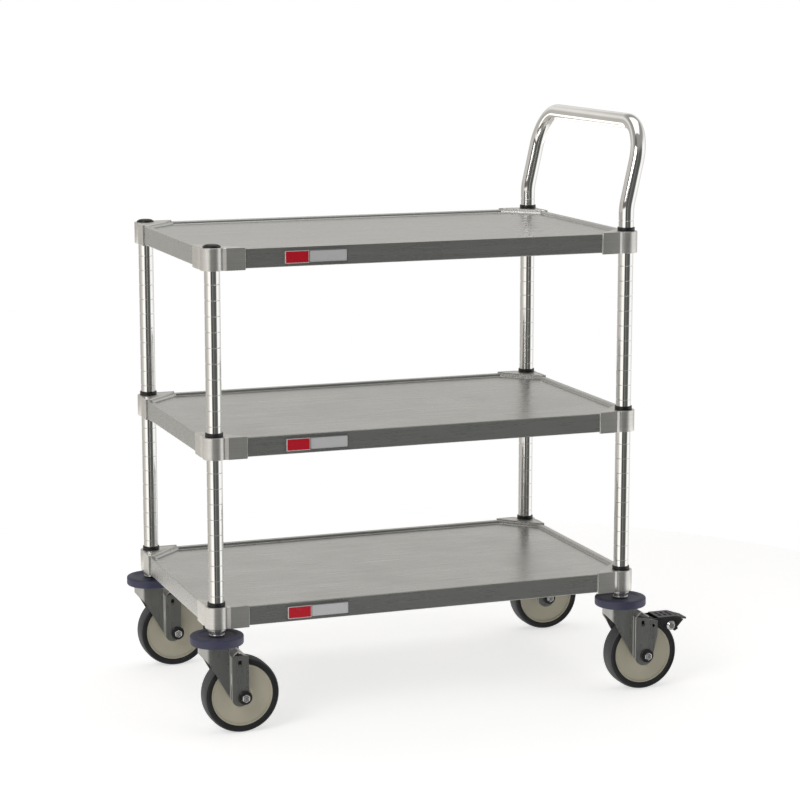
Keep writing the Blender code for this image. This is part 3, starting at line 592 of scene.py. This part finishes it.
tip = wing_reach - 0.0012
web = -inner_wing - 0.0004
gusset = draw_line("gusset_top_front_left",
                   [low_corner + Vector((x, y, -0.0002))
                    for x, y in ((web, tip), (web, 0.0060), (0.0060, web), (tip, web),
                                 (tip - 0.004, web + 0.0066), (web + 0.0066, tip - 0.004),
                                 (web, tip))])
bpy.ops.mesh.select_all(action="SELECT")
bpy.ops.mesh.remove_doubles(threshold=0.000005)
bpy.ops.mesh.edge_face_add()
bpy.ops.mesh.extrude_region_move(TRANSFORM_OT_translate={"value": (0, 0, -gusset_thickness)})
close_up(gusset, bevel=0.0008, steps=2)

made = {"casting": casting, "gusset": gusset}
for level, rim in rims.items():
    for corner, (x, y) in corners.items():
        for kind, first in made.items():
            name = f"{kind}_{level}_{corner}"
            piece = first if name == first.name else copy_of(
                first, name, (x - left_x, y - front_y, rim - rims["top"]),
                flip_x=x > middle_x, flip_y=y > 0, about=(left_x, front_y))
            dress(piece, casting_steel, "cart_frame", "shelf_" + level)

# ---- Sleeves and caps ----------------------------------------------------------------------
# A split sleeve of black nylon is wedged between post and casting, with its lip standing above
# the casting. The two plain posts are closed by a domed plug of the same nylon.
def black_nylon():
    """Moulded black nylon: fine texture, slightly greyed where it is rubbed."""
    finish, tree, shader = new_finish("black_nylon")
    rubbed = speckle(tree, 60, detail=5)
    tree.links.new(blend_colours(tree, spread(tree, rubbed, 0, 1, 0.45, 0.8),
                                 (0.010, 0.010, 0.011), (0.035, 0.034, 0.034)),
                   shader.inputs["Base Color"])
    tree.links.new(spread(tree, rubbed, 0.32, 0.5), shader.inputs["Roughness"])
    relief(tree, shader, speckle(tree, 900, detail=2), 0.00006, 0.25)
    return finish


nylon = black_nylon()
lip_heights = {"long": 0.0065, "capped": 0.0025}
sleeve_tail = 0.0020
sleeve_top = 0.0142
sleeve_foot = 0.0144
sleeve_bore = post_radius + 0.0002
sleeve_low = casting_rise - casting_height + sleeve_tail
slit_angle = math.radians(8)
rounding = 0.0008
first_place = Vector((left_x, front_y, rims["top"]))


def split_sleeve(name, lip):
    """A sleeve at the first post: half its section is drawn, then spun short of a full turn."""
    crest = casting_rise + lip
    profile = [(sleeve_bore, sleeve_low), (sleeve_foot, sleeve_low),
               (sleeve_top, casting_rise - 0.0006), (sleeve_top + 0.0004, casting_rise + 0.0004),
               (sleeve_top + 0.0004, crest - rounding), (sleeve_top + 0.0001, crest - rounding * 0.3),
               (sleeve_top - rounding, crest), (sleeve_bore, crest), (sleeve_bore, sleeve_low)]
    sleeve = draw_line(name, [first_place + Vector((radius, 0, height))
                              for radius, height in profile])
    bpy.ops.mesh.select_all(action="SELECT")
    bpy.ops.mesh.remove_doubles(threshold=0.000005)
    bpy.ops.transform.rotate(value=-slit_angle / 2, orient_axis="Z", center_override=first_place)
    bpy.ops.mesh.select_all(action="SELECT")
    bpy.ops.mesh.edge_face_add()
    bpy.ops.mesh.spin(steps=56, angle=2 * math.pi - slit_angle, center=first_place,
                      axis=(0, 0, 1))
    close_up(sleeve)
    return sleeve


sleeves, homes = {}, {}
for level, rim in rims.items():
    for corner, (x, y) in corners.items():
        kind = "capped" if level == "top" and corner.endswith("left") else "long"
        name = f"nylon_sleeve_{level}_{corner}"
        if kind not in sleeves:
            sleeves[kind] = split_sleeve(name, lip_heights[kind])
            sleeves[kind].data.transform(Matrix.Translation(
                (x - left_x, y - front_y, rim - rims["top"])))
            homes[kind] = (x, y, rim)
            piece = sleeves[kind]
        else:
            home = homes[kind]
            piece = copy_of(sleeves[kind], name, (x - home[0], y - home[1], rim - home[2]))
        dress(piece, nylon, "cart_frame", f"sleeve_{level}_{corner}")

cap_seat = post_top + 0.0002
cap_profile = [(0, cap_seat + 0.0024), (0.006, cap_seat + 0.0022), (0.0098, cap_seat + 0.0017),
               (0.0118, cap_seat + 0.0010), (0.0126, cap_seat + 0.0003), (0.0127, cap_seat),
               (bore - 0.0003, cap_seat), (bore - 0.0003, cap_seat - 0.014),
               (0, cap_seat - 0.014)]
for end in ("front_left", "rear_left"):
    cap = turned(f"domed_cap_{end}", cap_profile, (*corners[end], 0), sides=48)
    dress(cap, nylon, "cart_frame", f"cap_{end}")

# ---- Label holders -------------------------------------------------------------------------
# A grey plastic channel is stuck on each front rail. A plain red enamelled plate in a bright
# edge fills its left part, and a blank card is held between the channel's lips in the rest.
# The edge's brightness is a painted reflection: the edge is painted pale pink, not made of metal.
def moulded(name, colour, worn, smooth, rough, grain=700, deep=0.00005, patch=35):
    """A moulded or painted skin: fine grain, slow colour change, and paler where it is rubbed."""
    finish, tree, shader = new_finish(name)
    cloud = speckle(tree, patch, detail=6)
    tree.links.new(blend_colours(tree, spread(tree, cloud, 0, 1, 0.35, 0.8), colour, worn),
                   shader.inputs["Base Color"])
    tree.links.new(spread(tree, cloud, smooth, rough), shader.inputs["Roughness"])
    relief(tree, shader, speckle(tree, grain, detail=2), deep, 0.3)
    return finish


holder_grey = moulded("holder_grey", (0.13, 0.135, 0.135), (0.17, 0.175, 0.175), 0.3, 0.45)
badge_red = moulded("badge_red", (0.58, 0.010, 0.026), (0.50, 0.010, 0.024), 0.2, 0.32, 300, 0.00002)
# The badge edge is painted pale pink as a painted reflection, standing in for the shine of a bright
# metal rim.
badge_edge = moulded("badge_edge", (0.74, 0.69, 0.68), (0.68, 0.63, 0.62), 0.2, 0.3, 300, 0.00002)
card_grey = moulded("card_grey", (0.60, 0.605, 0.61), (0.55, 0.555, 0.56), 0.45, 0.6, 1500, 0.00002)
label_low, label_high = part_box("label_holder_top")
label_length = label_high.x - label_low.x
label_tall = label_high.z - label_low.z
badge_length = 0.0410
lip = 0.0014


def flat_block(name, low, high, bevel, steps=2):
    """A thin block with rounded edges: a plate drawn at its back, then pulled forward to -Y."""
    corners_of_plate = [(low[0], high[1], low[2]), (high[0], high[1], low[2]),
                        (high[0], high[1], high[2]), (low[0], high[1], high[2]),
                        (low[0], high[1], low[2])]
    block = draw_line(name, [Vector(point) for point in corners_of_plate])
    bpy.ops.mesh.select_all(action="SELECT")
    bpy.ops.mesh.remove_doubles(threshold=0.000005)
    bpy.ops.mesh.edge_face_add()
    bpy.ops.mesh.extrude_region_move(TRANSFORM_OT_translate={"value": (0, low[1] - high[1], 0)})
    close_up(block, bevel=bevel, steps=steps)
    return block


back = label_high.y
front = label_low.y
holder = flat_block("label_channel_top", (label_low.x, back - 0.0012, label_low.z),
                    (label_high.x, back, label_high.z), 0.0003)
# The channel's two lips are pulled out of its long edges.
bpy.ops.object.mode_set(mode="EDIT")
for edge_z in (label_low.z + lip / 2, label_high.z - lip / 2):
    for inner_z in (edge_z - lip / 2, edge_z + lip / 2):
        pick(holder, "FACE", lambda place, normal: place.y < back - 0.0006)
        bpy.ops.mesh.bisect(plane_co=(0, 0, inner_z), plane_no=(0, 0, 1))
    pick(holder, "FACE", lambda place, normal: normal.y < -0.9 and place.y < back - 0.0011
         and abs(place.z - edge_z) < lip / 2)
    bpy.ops.mesh.extrude_region_move(TRANSFORM_OT_translate={"value": (0, front - back + 0.0012, 0)})
close_up(holder, smooth=30)
badge_low = label_low + Vector((0.0004, 0, 0.0012))
edge_plate = flat_block("badge_edge_top", (label_low.x + 0.0006, front - 0.0001, label_low.z + 0.0009),
                        (label_low.x + badge_length, back - 0.0006, label_high.z - 0.0009), 0.0005)
red_plate = flat_block("badge_plate_top", (label_low.x + 0.0018, front - 0.0006, label_low.z + 0.0021),
                       (label_low.x + badge_length - 0.0012, back - 0.0006, label_high.z - 0.0021),
                       0.0006)
card = flat_block("blank_card_top", (label_low.x + badge_length + 0.0014, back - 0.0018,
                                     label_low.z + lip + 0.0004),
                  (label_high.x - 0.0012, back - 0.0008, label_high.z - lip - 0.0004), 0.0003)
made = {"label_channel": (holder, holder_grey), "badge_edge": (edge_plate, badge_edge),
        "badge_plate": (red_plate, badge_red), "blank_card": (card, card_grey)}
for level, rim in rims.items():
    for kind, (first, finish) in made.items():
        name = f"{kind}_{level}"
        piece = first if level == "top" else copy_of(first, name, (0, 0, rim - rims["top"]))
        dress(piece, finish, "cart_frame", "label_holder_" + level)

# ---- Caster stems and bumpers --------------------------------------------------------------
# Each caster has a plated stem pushed up into its post, with a flange that the post stands on,
# and a soft round bumper of slate blue rubber under the flange.
bright_zinc = brushed_steel("bright_zinc", (1, 1, 1), (0.62, 0.615, 0.60), (0.50, 0.50, 0.49),
                            0.2, 0.32, lines=160)
# A paler, whitish copy of the plated zinc for the roof bridges: its colour is painted light, so that the
# bridge reads as lit from the side.
pale_zinc = brushed_steel("pale_zinc", (1, 1, 1), (0.86, 0.85, 0.82), (0.76, 0.75, 0.73),
                          0.40, 0.52, lines=160, metal=0.55)
bumper_rubber = moulded("bumper_rubber", (0.046, 0.048, 0.094), (0.062, 0.063, 0.112), 0.42, 0.6,
                        500, 0.00008)
bumper_low, bumper_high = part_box("bumper_front_left")
bumper_radius = (bumper_high.x - bumper_low.x) / 2
flange_top = post_foot - 0.0003
stem_profile = [(0, post_foot + 0.06), (bore - 0.0012, post_foot + 0.06),
                (bore - 0.0003, post_foot + 0.059), (bore - 0.0003, flange_top),
                (0.0142, flange_top), (0.0150, flange_top - 0.0008),
                (0.0150, flange_top - 0.0040), (0.0143, flange_top - 0.0048),
                (0.0118, flange_top - 0.0050), (0.0118, bumper_high.z + 0.0021),
                (0.0128, bumper_high.z + 0.0019), (0.0132, bumper_high.z + 0.0012),
                (0.0132, bumper_high.z + 0.0003), (0.006, bumper_high.z + 0.0003),
                (0.006, 0.1459), (0.0095, 0.1459), (0.0095, 0.1389), (0, 0.1389)]
round_edge = [(bumper_radius - 0.0024 + 0.0024 * math.sin(math.radians(a)),
               bumper_high.z - 0.0024 + 0.0024 * math.cos(math.radians(a)))
              for a in range(0, 91, 15)]
round_under = [(radius, bumper_high.z + bumper_low.z - height)
               for radius, height in reversed(round_edge)]
bumper_profile = [(0.0063, bumper_high.z - 0.0016), (0.0290, bumper_high.z - 0.0016),
                  (0.0312, bumper_high.z - 0.0010), (0.0328, bumper_high.z - 0.0002),
                  (0.0345, bumper_high.z)] + round_edge + round_under
bumper_profile += [(0.0330, bumper_low.z), (0.0312, bumper_low.z + 0.0010),
                   (0.0063, bumper_low.z + 0.0010), (0.0063, bumper_high.z - 0.0016)]
for corner, place in corners.items():
    if corner == "front_left":
        first_stem = stem = turned("stem_flange_front_left", stem_profile, (*place, 0), sides=48)
        first_bumper = bumper = turned("bumper_ring_front_left", bumper_profile, (*place, 0),
                                       sides=72)
    else:
        offset = (place[0] - left_x, place[1] - front_y, 0)
        stem = copy_of(first_stem, "stem_flange_" + corner, offset)
        bumper = copy_of(first_bumper, "bumper_ring_" + corner, offset)
    dress(stem, bright_zinc, "cart_frame", "stem_" + corner)
    dress(bumper, bumper_rubber, "cart_frame", "bumper_" + corner)

# ---- Caster forks --------------------------------------------------------------------------
# The swivel fork is folded from one zinc-plated sheet: a rounded nose ahead of the kingpin, legs
# cut back at a slant, and a panel stepped out on each side to take the axle. The panels of the
# braked pair reach further back, to the pedal's pivot. A pressed head carries the ball race.
fork_zinc = brushed_steel("fork_zinc", (1, 1, 0.06), (0.50, 0.50, 0.48), (0.40, 0.40, 0.385),
                          0.24, 0.36, lines=260)
fork_sheet = 0.0025
fork_top = 0.1497
leg_half = 0.0210
nose_u, nose_low = -0.0105, 0.1370
web_u, web_z = -0.0180, 0.1210
step_u = 0.0160
panel_half = 0.0300
panel_top = 0.1340
panel_low = 0.0465
panel_back = {False: 0.0450, True: 0.0580}
panel_radius = {False: 0.0145, True: 0.0170}
pivot_u, pivot_z, pivot_margin = 0.0500, 0.1160, 0.0080
slot_u, slot_z, slot_wide, slot_tall = 0.0300, 0.1210, 0.0060, 0.0104
axle_u, axle_z = 0.0380, 0.0635


def trim(piece, chosen, place, cut_off):
    """Splits the chosen faces of a sheet off and cuts them along a plane; one side is dropped."""
    pick(piece, "FACE", chosen)
    bpy.ops.mesh.split()
    bpy.ops.mesh.bisect(plane_co=place, plane_no=Vector(cut_off).normalized(), clear_outer=True)


def folded_fork(name, foot, braked):
    """A fork with its kingpin over (x, y); u runs back along +X from the kingpin."""
    back_u = panel_back[braked]
    side = [(back_u, panel_half), (step_u + 0.0012, panel_half)]
    side += arc_points((step_u + 0.0012, panel_half - 0.0012), 0.0012, 90, 180, 3)[1:]
    side += arc_points((step_u - 0.0012, leg_half + 0.0012), 0.0012, 0, -90, 3)
    nose = arc_points((nose_u, 0), leg_half, 90, 270, 20)
    outline = side + nose + [(u, -v) for u, v in reversed(side)]
    fork = draw_line(name, [Vector((foot[0] + u, foot[1] + v, fork_top)) for u, v in outline])
    bpy.ops.mesh.select_all(action="SELECT")
    bpy.ops.mesh.extrude_edges_move(
        TRANSFORM_OT_translate={"value": (0, 0, panel_low - 0.001 - fork_top)})
    for where, way in (((foot[0] + web_u, 0, 0), (1, 0, 0)), ((0, 0, panel_top), (0, 0, 1))):
        bpy.ops.mesh.select_all(action="SELECT")
        bpy.ops.mesh.bisect(plane_co=where, plane_no=way)

    def u_of(place):
        return place.x - foot[0]

    def off_leg(place):
        return abs(place.y - foot[1]) > leg_half + 0.00005

    pick(fork, "FACE", lambda place, normal: off_leg(place) and place.z > panel_top)
    bpy.ops.mesh.delete(type="FACE")
    # The panel's lower end is a polygon round a circle; its first side meets the leg's slant.
    radius = panel_radius[braked]
    middle = Vector((foot[0] + step_u + radius, 0, axle_z))
    first = math.radians(200)
    join_z = axle_z + radius * math.sin(first)
    join_z += (radius + radius * math.cos(first)) * math.cos(first) / -math.sin(first) * -1
    slant = Vector((step_u - web_u, 0, join_z - web_z))
    trim(fork, lambda place, normal: u_of(place) < web_u,
         (foot[0] + web_u, 0, web_z), (web_z - nose_low, 0, nose_u - leg_half - web_u))
    trim(fork, lambda place, normal: web_u < u_of(place) < step_u + 0.00002,
         (foot[0] + web_u, 0, web_z), (slant.z, 0, -slant.x))

    def on_panel(place, normal):
        return u_of(place) > step_u + 0.00002

    last = 360
    if braked:
        back_low, back_high = pivot_z - 2 * pivot_margin, pivot_z + pivot_margin
        trim(fork, on_panel, (foot[0] + step_u, 0, panel_top),
             (panel_top - back_high, 0, back_u - step_u))
        flare = Vector((back_low - axle_z, 0, step_u + 2 * radius - back_u))
        trim(fork, on_panel, (foot[0] + step_u + 2 * radius, 0, axle_z), flare)
        last = 340
    for angle in range(200, last, 10):
        away = Vector((math.cos(math.radians(angle)), 0, math.sin(math.radians(angle))))
        trim(fork, on_panel, middle + away * radius, away)

    slot_sides = (((foot[0] + slot_u - slot_wide / 2, 0, 0), (1, 0, 0)),
                  ((foot[0] + slot_u + slot_wide / 2, 0, 0), (1, 0, 0)),
                  ((0, 0, slot_z - slot_tall / 2), (0, 0, 1)),
                  ((0, 0, slot_z + slot_tall / 2), (0, 0, 1)))
    for where, way in slot_sides:
        pick(fork, "FACE", on_panel)
        bpy.ops.mesh.bisect(plane_co=where, plane_no=way)
    pick(fork, "FACE", lambda place, normal: on_panel(place, normal)
         and abs(u_of(place) - slot_u) < slot_wide / 2 and abs(place.z - slot_z) < slot_tall / 2)
    bpy.ops.mesh.delete(type="FACE")
    close_up(fork, bevel=0.0004, wall=fork_sheet, steps=2)
    return fork


def swivel_head(name, foot):
    """The pressed head on the fork: a flat cap over a rounded ball race."""
    head_profile = [(0.0063, 0.1499), (0.0215, 0.1499), (0.0228, 0.1494), (0.0235, 0.1484),
                    (0.0235, 0.1470), (0.0224, 0.1462), (0.0150, 0.1461), (0.0063, 0.1461),
                    (0.0063, 0.1499)]
    return turned(name, head_profile, (*foot, 0), sides=64)


def roof_bridge(name, foot):
    """The small ridged plate that ties the panels together above the wheel."""
    profile = [(0.0175, 0.1330), (0.0262, 0.1415), (0.0290, 0.1415), (0.0425, 0.1325)]
    half = panel_half - fork_sheet - 0.0002
    bridge = draw_line(name, [Vector((foot[0] + u, foot[1] - half, z)) for u, z in profile])
    bpy.ops.mesh.select_all(action="SELECT")
    bpy.ops.mesh.extrude_edges_move(TRANSFORM_OT_translate={"value": (0, 2 * half, 0)})
    close_up(bridge, bevel=0.0004, wall=0.0018, steps=2)
    return bridge


forks = {}
for corner, foot in corners.items():
    braked = corner.endswith("right")
    body = "swivel_" + corner
    if braked not in forks:
        forks[braked] = (corner, folded_fork("folded_fork_" + corner, foot, braked))
        fork = forks[braked][1]
    else:
        first_corner, first = forks[braked]
        offset = (foot[0] - corners[first_corner][0], foot[1] - corners[first_corner][1], 0)
        fork = copy_of(first, "folded_fork_" + corner, offset)
    dress(fork, fork_zinc, body, "fork_" + corner)
    dress(swivel_head("swivel_head_" + corner, foot), bright_zinc, body,
          "fork_" + corner)
    # The roof bridge takes the whitish zinc, whose colour is painted light.
    dress(roof_bridge("roof_bridge_" + corner, foot), pale_zinc, body,
          "fork_" + corner)

# ---- Wheels --------------------------------------------------------------------------------
# A moulded taupe core with a raised rim and a hub runs on a steel bushing, with a solid grey
# rubber tread moulded round it.
core_taupe = moulded("core_taupe", (0.470, 0.438, 0.340), (0.410, 0.382, 0.300), 0.38, 0.5,
                     600, 0.00005, 18)
# The tyre's one rubber is given two tones: the sidewalls are painted near-black as painted shade, and
# the tread is painted paler, partly as wear and partly as painted light from the left.
side_rubber = moulded("side_rubber", (0.013, 0.013, 0.015), (0.026, 0.026, 0.029), 0.45, 0.62,
                      450, 0.0001, 40)
tread_rubber = moulded("tread_rubber", (0.060, 0.061, 0.066), (0.095, 0.095, 0.10), 0.5, 0.7,
                       300, 0.00012, 40)
core_side = [(0.0066, 0.0238), (0.0138, 0.0238), (0.0148, 0.0230), (0.0152, 0.0215),
             (0.0165, 0.0120), (0.0180, 0.0108), (0.0200, 0.0104), (0.0330, 0.0110),
             (0.0440, 0.0118), (0.0478, 0.0122), (0.0490, 0.0128), (0.0496, 0.0141),
             (0.0506, 0.0146), (0.0516, 0.0144), (0.0519, 0.0138)]
core_profile = core_side + [(radius, -height) for radius, height in reversed(core_side)]
core_profile.append(core_profile[0])
tread_edge = 0.0612
tyre_side = [(0.0521, 0.0142), (0.0530, 0.0151), (0.0545, 0.0153), (0.0560, 0.0149),
             (0.0578, 0.0149), (0.0592, 0.0158), (0.0600, 0.0160), (0.0610, 0.0157),
             (0.0619, 0.0148), (0.0626, 0.0134), (0.0631, 0.0115), (0.0634, 0.0090),
             (0.0635, 0.0050)]
tyre_profile = tyre_side + [(radius, -height) for radius, height in reversed(tyre_side)]
tyre_profile.append(tyre_profile[0])
for corner, foot in corners.items():
    if corner == "front_left":
        centre = (foot[0] + axle_u, foot[1], axle_z)
        first_core = core = turned("moulded_core_front_left", core_profile, centre, "Y", 96)
        first_tyre = tyre = turned("rubber_tread_front_left", tyre_profile, centre, "Y", 96)
    else:
        offset = (foot[0] - left_x, foot[1] - front_y, 0)
        core = copy_of(first_core, "moulded_core_" + corner, offset)
        tyre = copy_of(first_tyre, "rubber_tread_" + corner, offset)
    dress(core, core_taupe, "wheel_" + corner, "wheel_core_" + corner)
    dress(tyre, side_rubber, "wheel_" + corner, "tyre_" + corner)
    # The running surface takes the paler tone of wear and painted light, and the sidewalls keep the
    # painted shade.
    tyre.data.materials.append(tread_rubber)
    for face in tyre.data.polygons:
        reach = math.hypot(face.center.x - foot[0] - axle_u, face.center.z - axle_z)
        face.material_index = 1 if reach > tread_edge else 0

# ---- Axles ---------------------------------------------------------------------------------
# A hexagon bolt goes through both panels and the steel bushing that the wheel turns on. It is
# held by a bright nut on a round black washer at the near side.
axle_steel = brushed_steel("axle_steel", (1, 1, 1), (0.80, 0.79, 0.78), (0.68, 0.67, 0.66),
                           0.12, 0.24, lines=200)
for corner in corners:
    bushing = bpy.data.objects["bushing_" + corner]
    bushing.data.materials.clear()
    bushing.data.materials.append(axle_steel)
washer_black = moulded("washer_black", (0.012, 0.012, 0.013), (0.04, 0.04, 0.04), 0.3, 0.45)


def hexagon(name, centre, radius, low, high):
    """A hexagon head or nut on a Y axis, with its outer corners turned off."""
    bpy.ops.object.select_all(action="DESELECT")
    bpy.ops.mesh.primitive_cylinder_add(vertices=6, radius=radius, depth=high - low,
                                        location=centre + Vector((0, (low + high) / 2, 0)),
                                        rotation=(math.pi / 2, 0, 0))
    nut = bpy.context.object
    nut.name = name
    bpy.ops.object.transform_apply(location=True, rotation=True, scale=True)
    bpy.ops.object.mode_set(mode="EDIT")
    pick(nut, "FACE", lambda place, normal: abs(normal.y) > 0.9)
    bpy.ops.mesh.inset(thickness=0.0009, depth=0.0006, use_individual=True)
    bpy.ops.mesh.inset(thickness=0.0020, depth=0.0, use_individual=True)
    bpy.ops.mesh.inset(thickness=0.0003, depth=-0.0004, use_individual=True)
    close_up(nut, bevel=0.00025, steps=2)
    return nut


for corner, foot in corners.items():
    centre = Vector((foot[0] + axle_u, foot[1], axle_z))
    body = "swivel_" + corner
    outside = panel_half + 0.0003
    if corner == "front_left":
        washer_profile = [(0.0042, -outside), (0.0112, -outside), (0.0118, -outside - 0.0006),
                          (0.0118, -outside - 0.0022), (0.0110, -outside - 0.0030),
                          (0.0042, -outside - 0.0030), (0.0042, -outside)]
        washer = turned("axle_washer_front_left", washer_profile, centre, "Y", 48)
        nut = hexagon("axle_nut_hexagon_front_left", centre, 0.0068, -outside - 0.0073,
                      -outside - 0.0030)
        head = hexagon("axle_bolt_head_front_left", centre, 0.0070, outside, outside + 0.0042)
        bolt_profile = [(0, -outside - 0.0076), (0.0034, -outside - 0.0076),
                        (0.0040, -outside - 0.0070), (0.0040, outside), (0, outside)]
        shank = turned("axle_shank_front_left", bolt_profile, centre, "Y", 32)
        firsts = {"axle_washer": washer, "axle_nut_hexagon": nut, "axle_bolt_head": head,
                  "axle_shank": shank}
    for kind, first in firsts.items():
        piece = first if corner == "front_left" else copy_of(
            first, f"{kind}_{corner}", (foot[0] - left_x, foot[1] - front_y, 0))
        is_nut = kind in ("axle_washer", "axle_nut_hexagon")
        dress(piece, washer_black if kind == "axle_washer" else axle_steel, body,
              ("axle_nut_" if is_nut else "axle_bolt_") + corner)

# ---- Foot brakes ---------------------------------------------------------------------------
# The casters at the handle end have a black pressed-steel pedal on two stub pins: a ribbed sole
# between two cheeks that straddle the wheel, and a shoe between them that bears on the tread.
pedal_black = moulded("pedal_black", (0.011, 0.011, 0.012), (0.045, 0.045, 0.046), 0.28, 0.46,
                      500, 0.00006, 50)
pedal_half, pedal_tip_half = 0.0215, 0.0150
pedal_start, pedal_waist, pedal_reach = 0.0640, 0.0997, 0.1210
pedal_top, tip_drop, pedal_sheet = 0.1265, 0.0060, 0.0030
slot_long = 0.0050
cheek_wall = 0.0025
boss_u, boss_z, boss_radius = 0.0870, 0.1110, 0.0080
pin_radius = 0.0030
shoe_angle, shoe_half_angle = 40, 9
shoe_inner, shoe_outer = 0.0685, 0.0765


def pedal_sole(name, foot):
    """The sole: a tapering plate, dropped at its tip, with rows of sunk slots across it."""
    outline = [(pedal_start, -pedal_half), (pedal_waist, -pedal_half),
               (pedal_reach - 0.0012, -pedal_tip_half), (pedal_reach, -pedal_tip_half + 0.0020),
               (pedal_reach, pedal_tip_half - 0.0020), (pedal_reach - 0.0012, pedal_tip_half),
               (pedal_waist, pedal_half), (pedal_start, pedal_half), (pedal_start, -pedal_half)]
    sole = draw_line(name, [Vector((foot[0] + u, foot[1] + v, pedal_top)) for u, v in outline])
    bpy.ops.mesh.select_all(action="SELECT")
    bpy.ops.mesh.remove_doubles(threshold=0.000005)
    bpy.ops.mesh.edge_face_add()
    bpy.ops.mesh.bisect(plane_co=(foot[0] + pedal_waist, 0, 0), plane_no=(1, 0, 0))
    pick(sole, "VERT", lambda place, normal: place.x - foot[0] > pedal_waist + 0.001)
    bpy.ops.transform.translate(value=(0, 0, -tip_drop))
    bpy.ops.mesh.select_all(action="SELECT")
    bpy.ops.mesh.extrude_region_move(TRANSFORM_OT_translate={"value": (0, 0, -pedal_sheet)})
    bpy.ops.mesh.select_all(action="SELECT")
    bpy.ops.mesh.normals_make_consistent(inside=False)
    slots = [pedal_start + 0.0062 + 0.0098 * i for i in range(5)]
    cuts = [(1, u) for start in slots for u in (start, start + slot_long)]
    cuts += [(0, v) for v in (-0.0125, -0.0015, 0.0015, 0.0125)]
    for along, value in cuts:
        bpy.ops.mesh.select_all(action="SELECT")
        where = (foot[0] + value, 0, 0) if along else (0, foot[1] + value, 0)
        bpy.ops.mesh.bisect(plane_co=where, plane_no=(1, 0, 0) if along else (0, 1, 0))
    pick(sole, "FACE", lambda place, normal: normal.z > 0.5
         and 0.0015 < abs(place.y - foot[1]) < 0.0125
         and any(start < place.x - foot[0] < start + slot_long for start in slots))
    bpy.ops.mesh.inset(thickness=0.0008, depth=-0.0016, use_individual=False)
    close_up(sole, bevel=0.0004, steps=2)
    return sole


def pedal_cheek(name, foot, side):
    """One cheek: a plate at the sole's edge that runs from the pivot to the shoe."""
    shoe = Vector((axle_u, 0, axle_z)) + Vector((math.cos(math.radians(shoe_angle)), 0,
                                                 math.sin(math.radians(shoe_angle)))) * 0.0725
    outline = [(pivot_u - 0.006, pedal_top - 0.0015), (pivot_u - 0.006, pivot_z - 0.004),
               (pivot_u - 0.003, pivot_z - 0.006), (pivot_u + 0.006, pivot_z - 0.006),
               (shoe.x - 0.007, shoe.z - 0.005), (shoe.x - 0.002, shoe.z - 0.0065),
               (shoe.x + 0.007, shoe.z - 0.003), (0.1120, 0.1195), (pedal_waist, pedal_top - 0.0015)]
    outer = foot[1] + side * (pedal_half - 0.0002)
    cheek = draw_line(name, [Vector((foot[0] + u, outer, z)) for u, z in outline + outline[:1]])
    bpy.ops.mesh.select_all(action="SELECT")
    bpy.ops.mesh.remove_doubles(threshold=0.000005)
    bpy.ops.mesh.edge_face_add()
    bpy.ops.mesh.extrude_region_move(
        TRANSFORM_OT_translate={"value": (0, -side * cheek_wall, 0)})
    close_up(cheek, bevel=0.0004, steps=2)
    return cheek


def brake_shoe(name, foot):
    """The curved shoe between the cheeks."""
    centre = Vector((foot[0] + axle_u, foot[1], axle_z))
    half = pedal_half - cheek_wall - 0.0006
    outline = []
    for radius, way in ((shoe_inner, 1), (shoe_outer, -1)):
        angles = [shoe_angle + way * shoe_half_angle * (2 * i / 8 - 1) for i in range(9)]
        outline += [(radius * math.cos(math.radians(a)), radius * math.sin(math.radians(a)))
                    for a in angles]
    shoe = draw_line(name, [centre + Vector((u, -half, z)) for u, z in outline + outline[:1]])
    bpy.ops.mesh.select_all(action="SELECT")
    bpy.ops.mesh.remove_doubles(threshold=0.000005)
    bpy.ops.mesh.edge_face_add()
    bpy.ops.mesh.extrude_region_move(TRANSFORM_OT_translate={"value": (0, 2 * half, 0)})
    close_up(shoe, bevel=0.0008, steps=3)
    return shoe


for corner in ("front_right", "rear_right"):
    foot = corners[corner]
    body = "pedal_" + corner
    if corner == "front_right":
        pivot = Vector((foot[0] + pivot_u, foot[1], pivot_z))
        stub = [(0, -panel_half), (pin_radius - 0.0004, -panel_half), (pin_radius, -panel_half + 0.0004),
                (pin_radius, -pedal_half + 0.001), (0, -pedal_half + 0.001)]
        # The shoe hangs from a bright boss on the outside of each cheek.
        face = pedal_half + 0.0040
        boss = [(0, -face), (0.0050, -face), (0.0062, -face + 0.0012),
                (boss_radius - 0.0008, -face + 0.0012), (boss_radius, -face + 0.0020),
                (boss_radius, -pedal_half), (0, -pedal_half)]
        boss_place = (foot[0] + boss_u, foot[1], boss_z)
        firsts = {"pedal_sole": pedal_sole("pedal_sole_front_right", foot),
                  "pedal_near_cheek": pedal_cheek("pedal_near_cheek_front_right", foot, -1),
                  "pedal_far_cheek": pedal_cheek("pedal_far_cheek_front_right", foot, 1),
                  "pedal_near_pin": turned("pedal_near_pin_front_right", stub, pivot, "Y", 24),
                  "pedal_far_pin": turned("pedal_far_pin_front_right",
                                          [(r, -h) for r, h in stub], pivot, "Y", 24),
                  "pedal_near_boss": turned("pedal_near_boss_front_right", boss, boss_place,
                                            "Y", 40),
                  "pedal_far_boss": turned("pedal_far_boss_front_right",
                                           [(r, -h) for r, h in boss], boss_place, "Y", 40)}
        first_shoe = brake_shoe("pressed_shoe_front_right", foot)
    offset = (0, foot[1] - front_y, 0)
    for kind, first in firsts.items():
        piece = first if corner == "front_right" else copy_of(first, f"{kind}_{corner}", offset)
        dress(piece, axle_steel if kind.endswith(("pin", "boss")) else pedal_black, body,
              "brake_pedal_" + corner)
    shoe = first_shoe if corner == "front_right" else copy_of(
        first_shoe, "pressed_shoe_" + corner, offset)
    dress(shoe, pedal_black, body, "brake_shoe_" + corner)
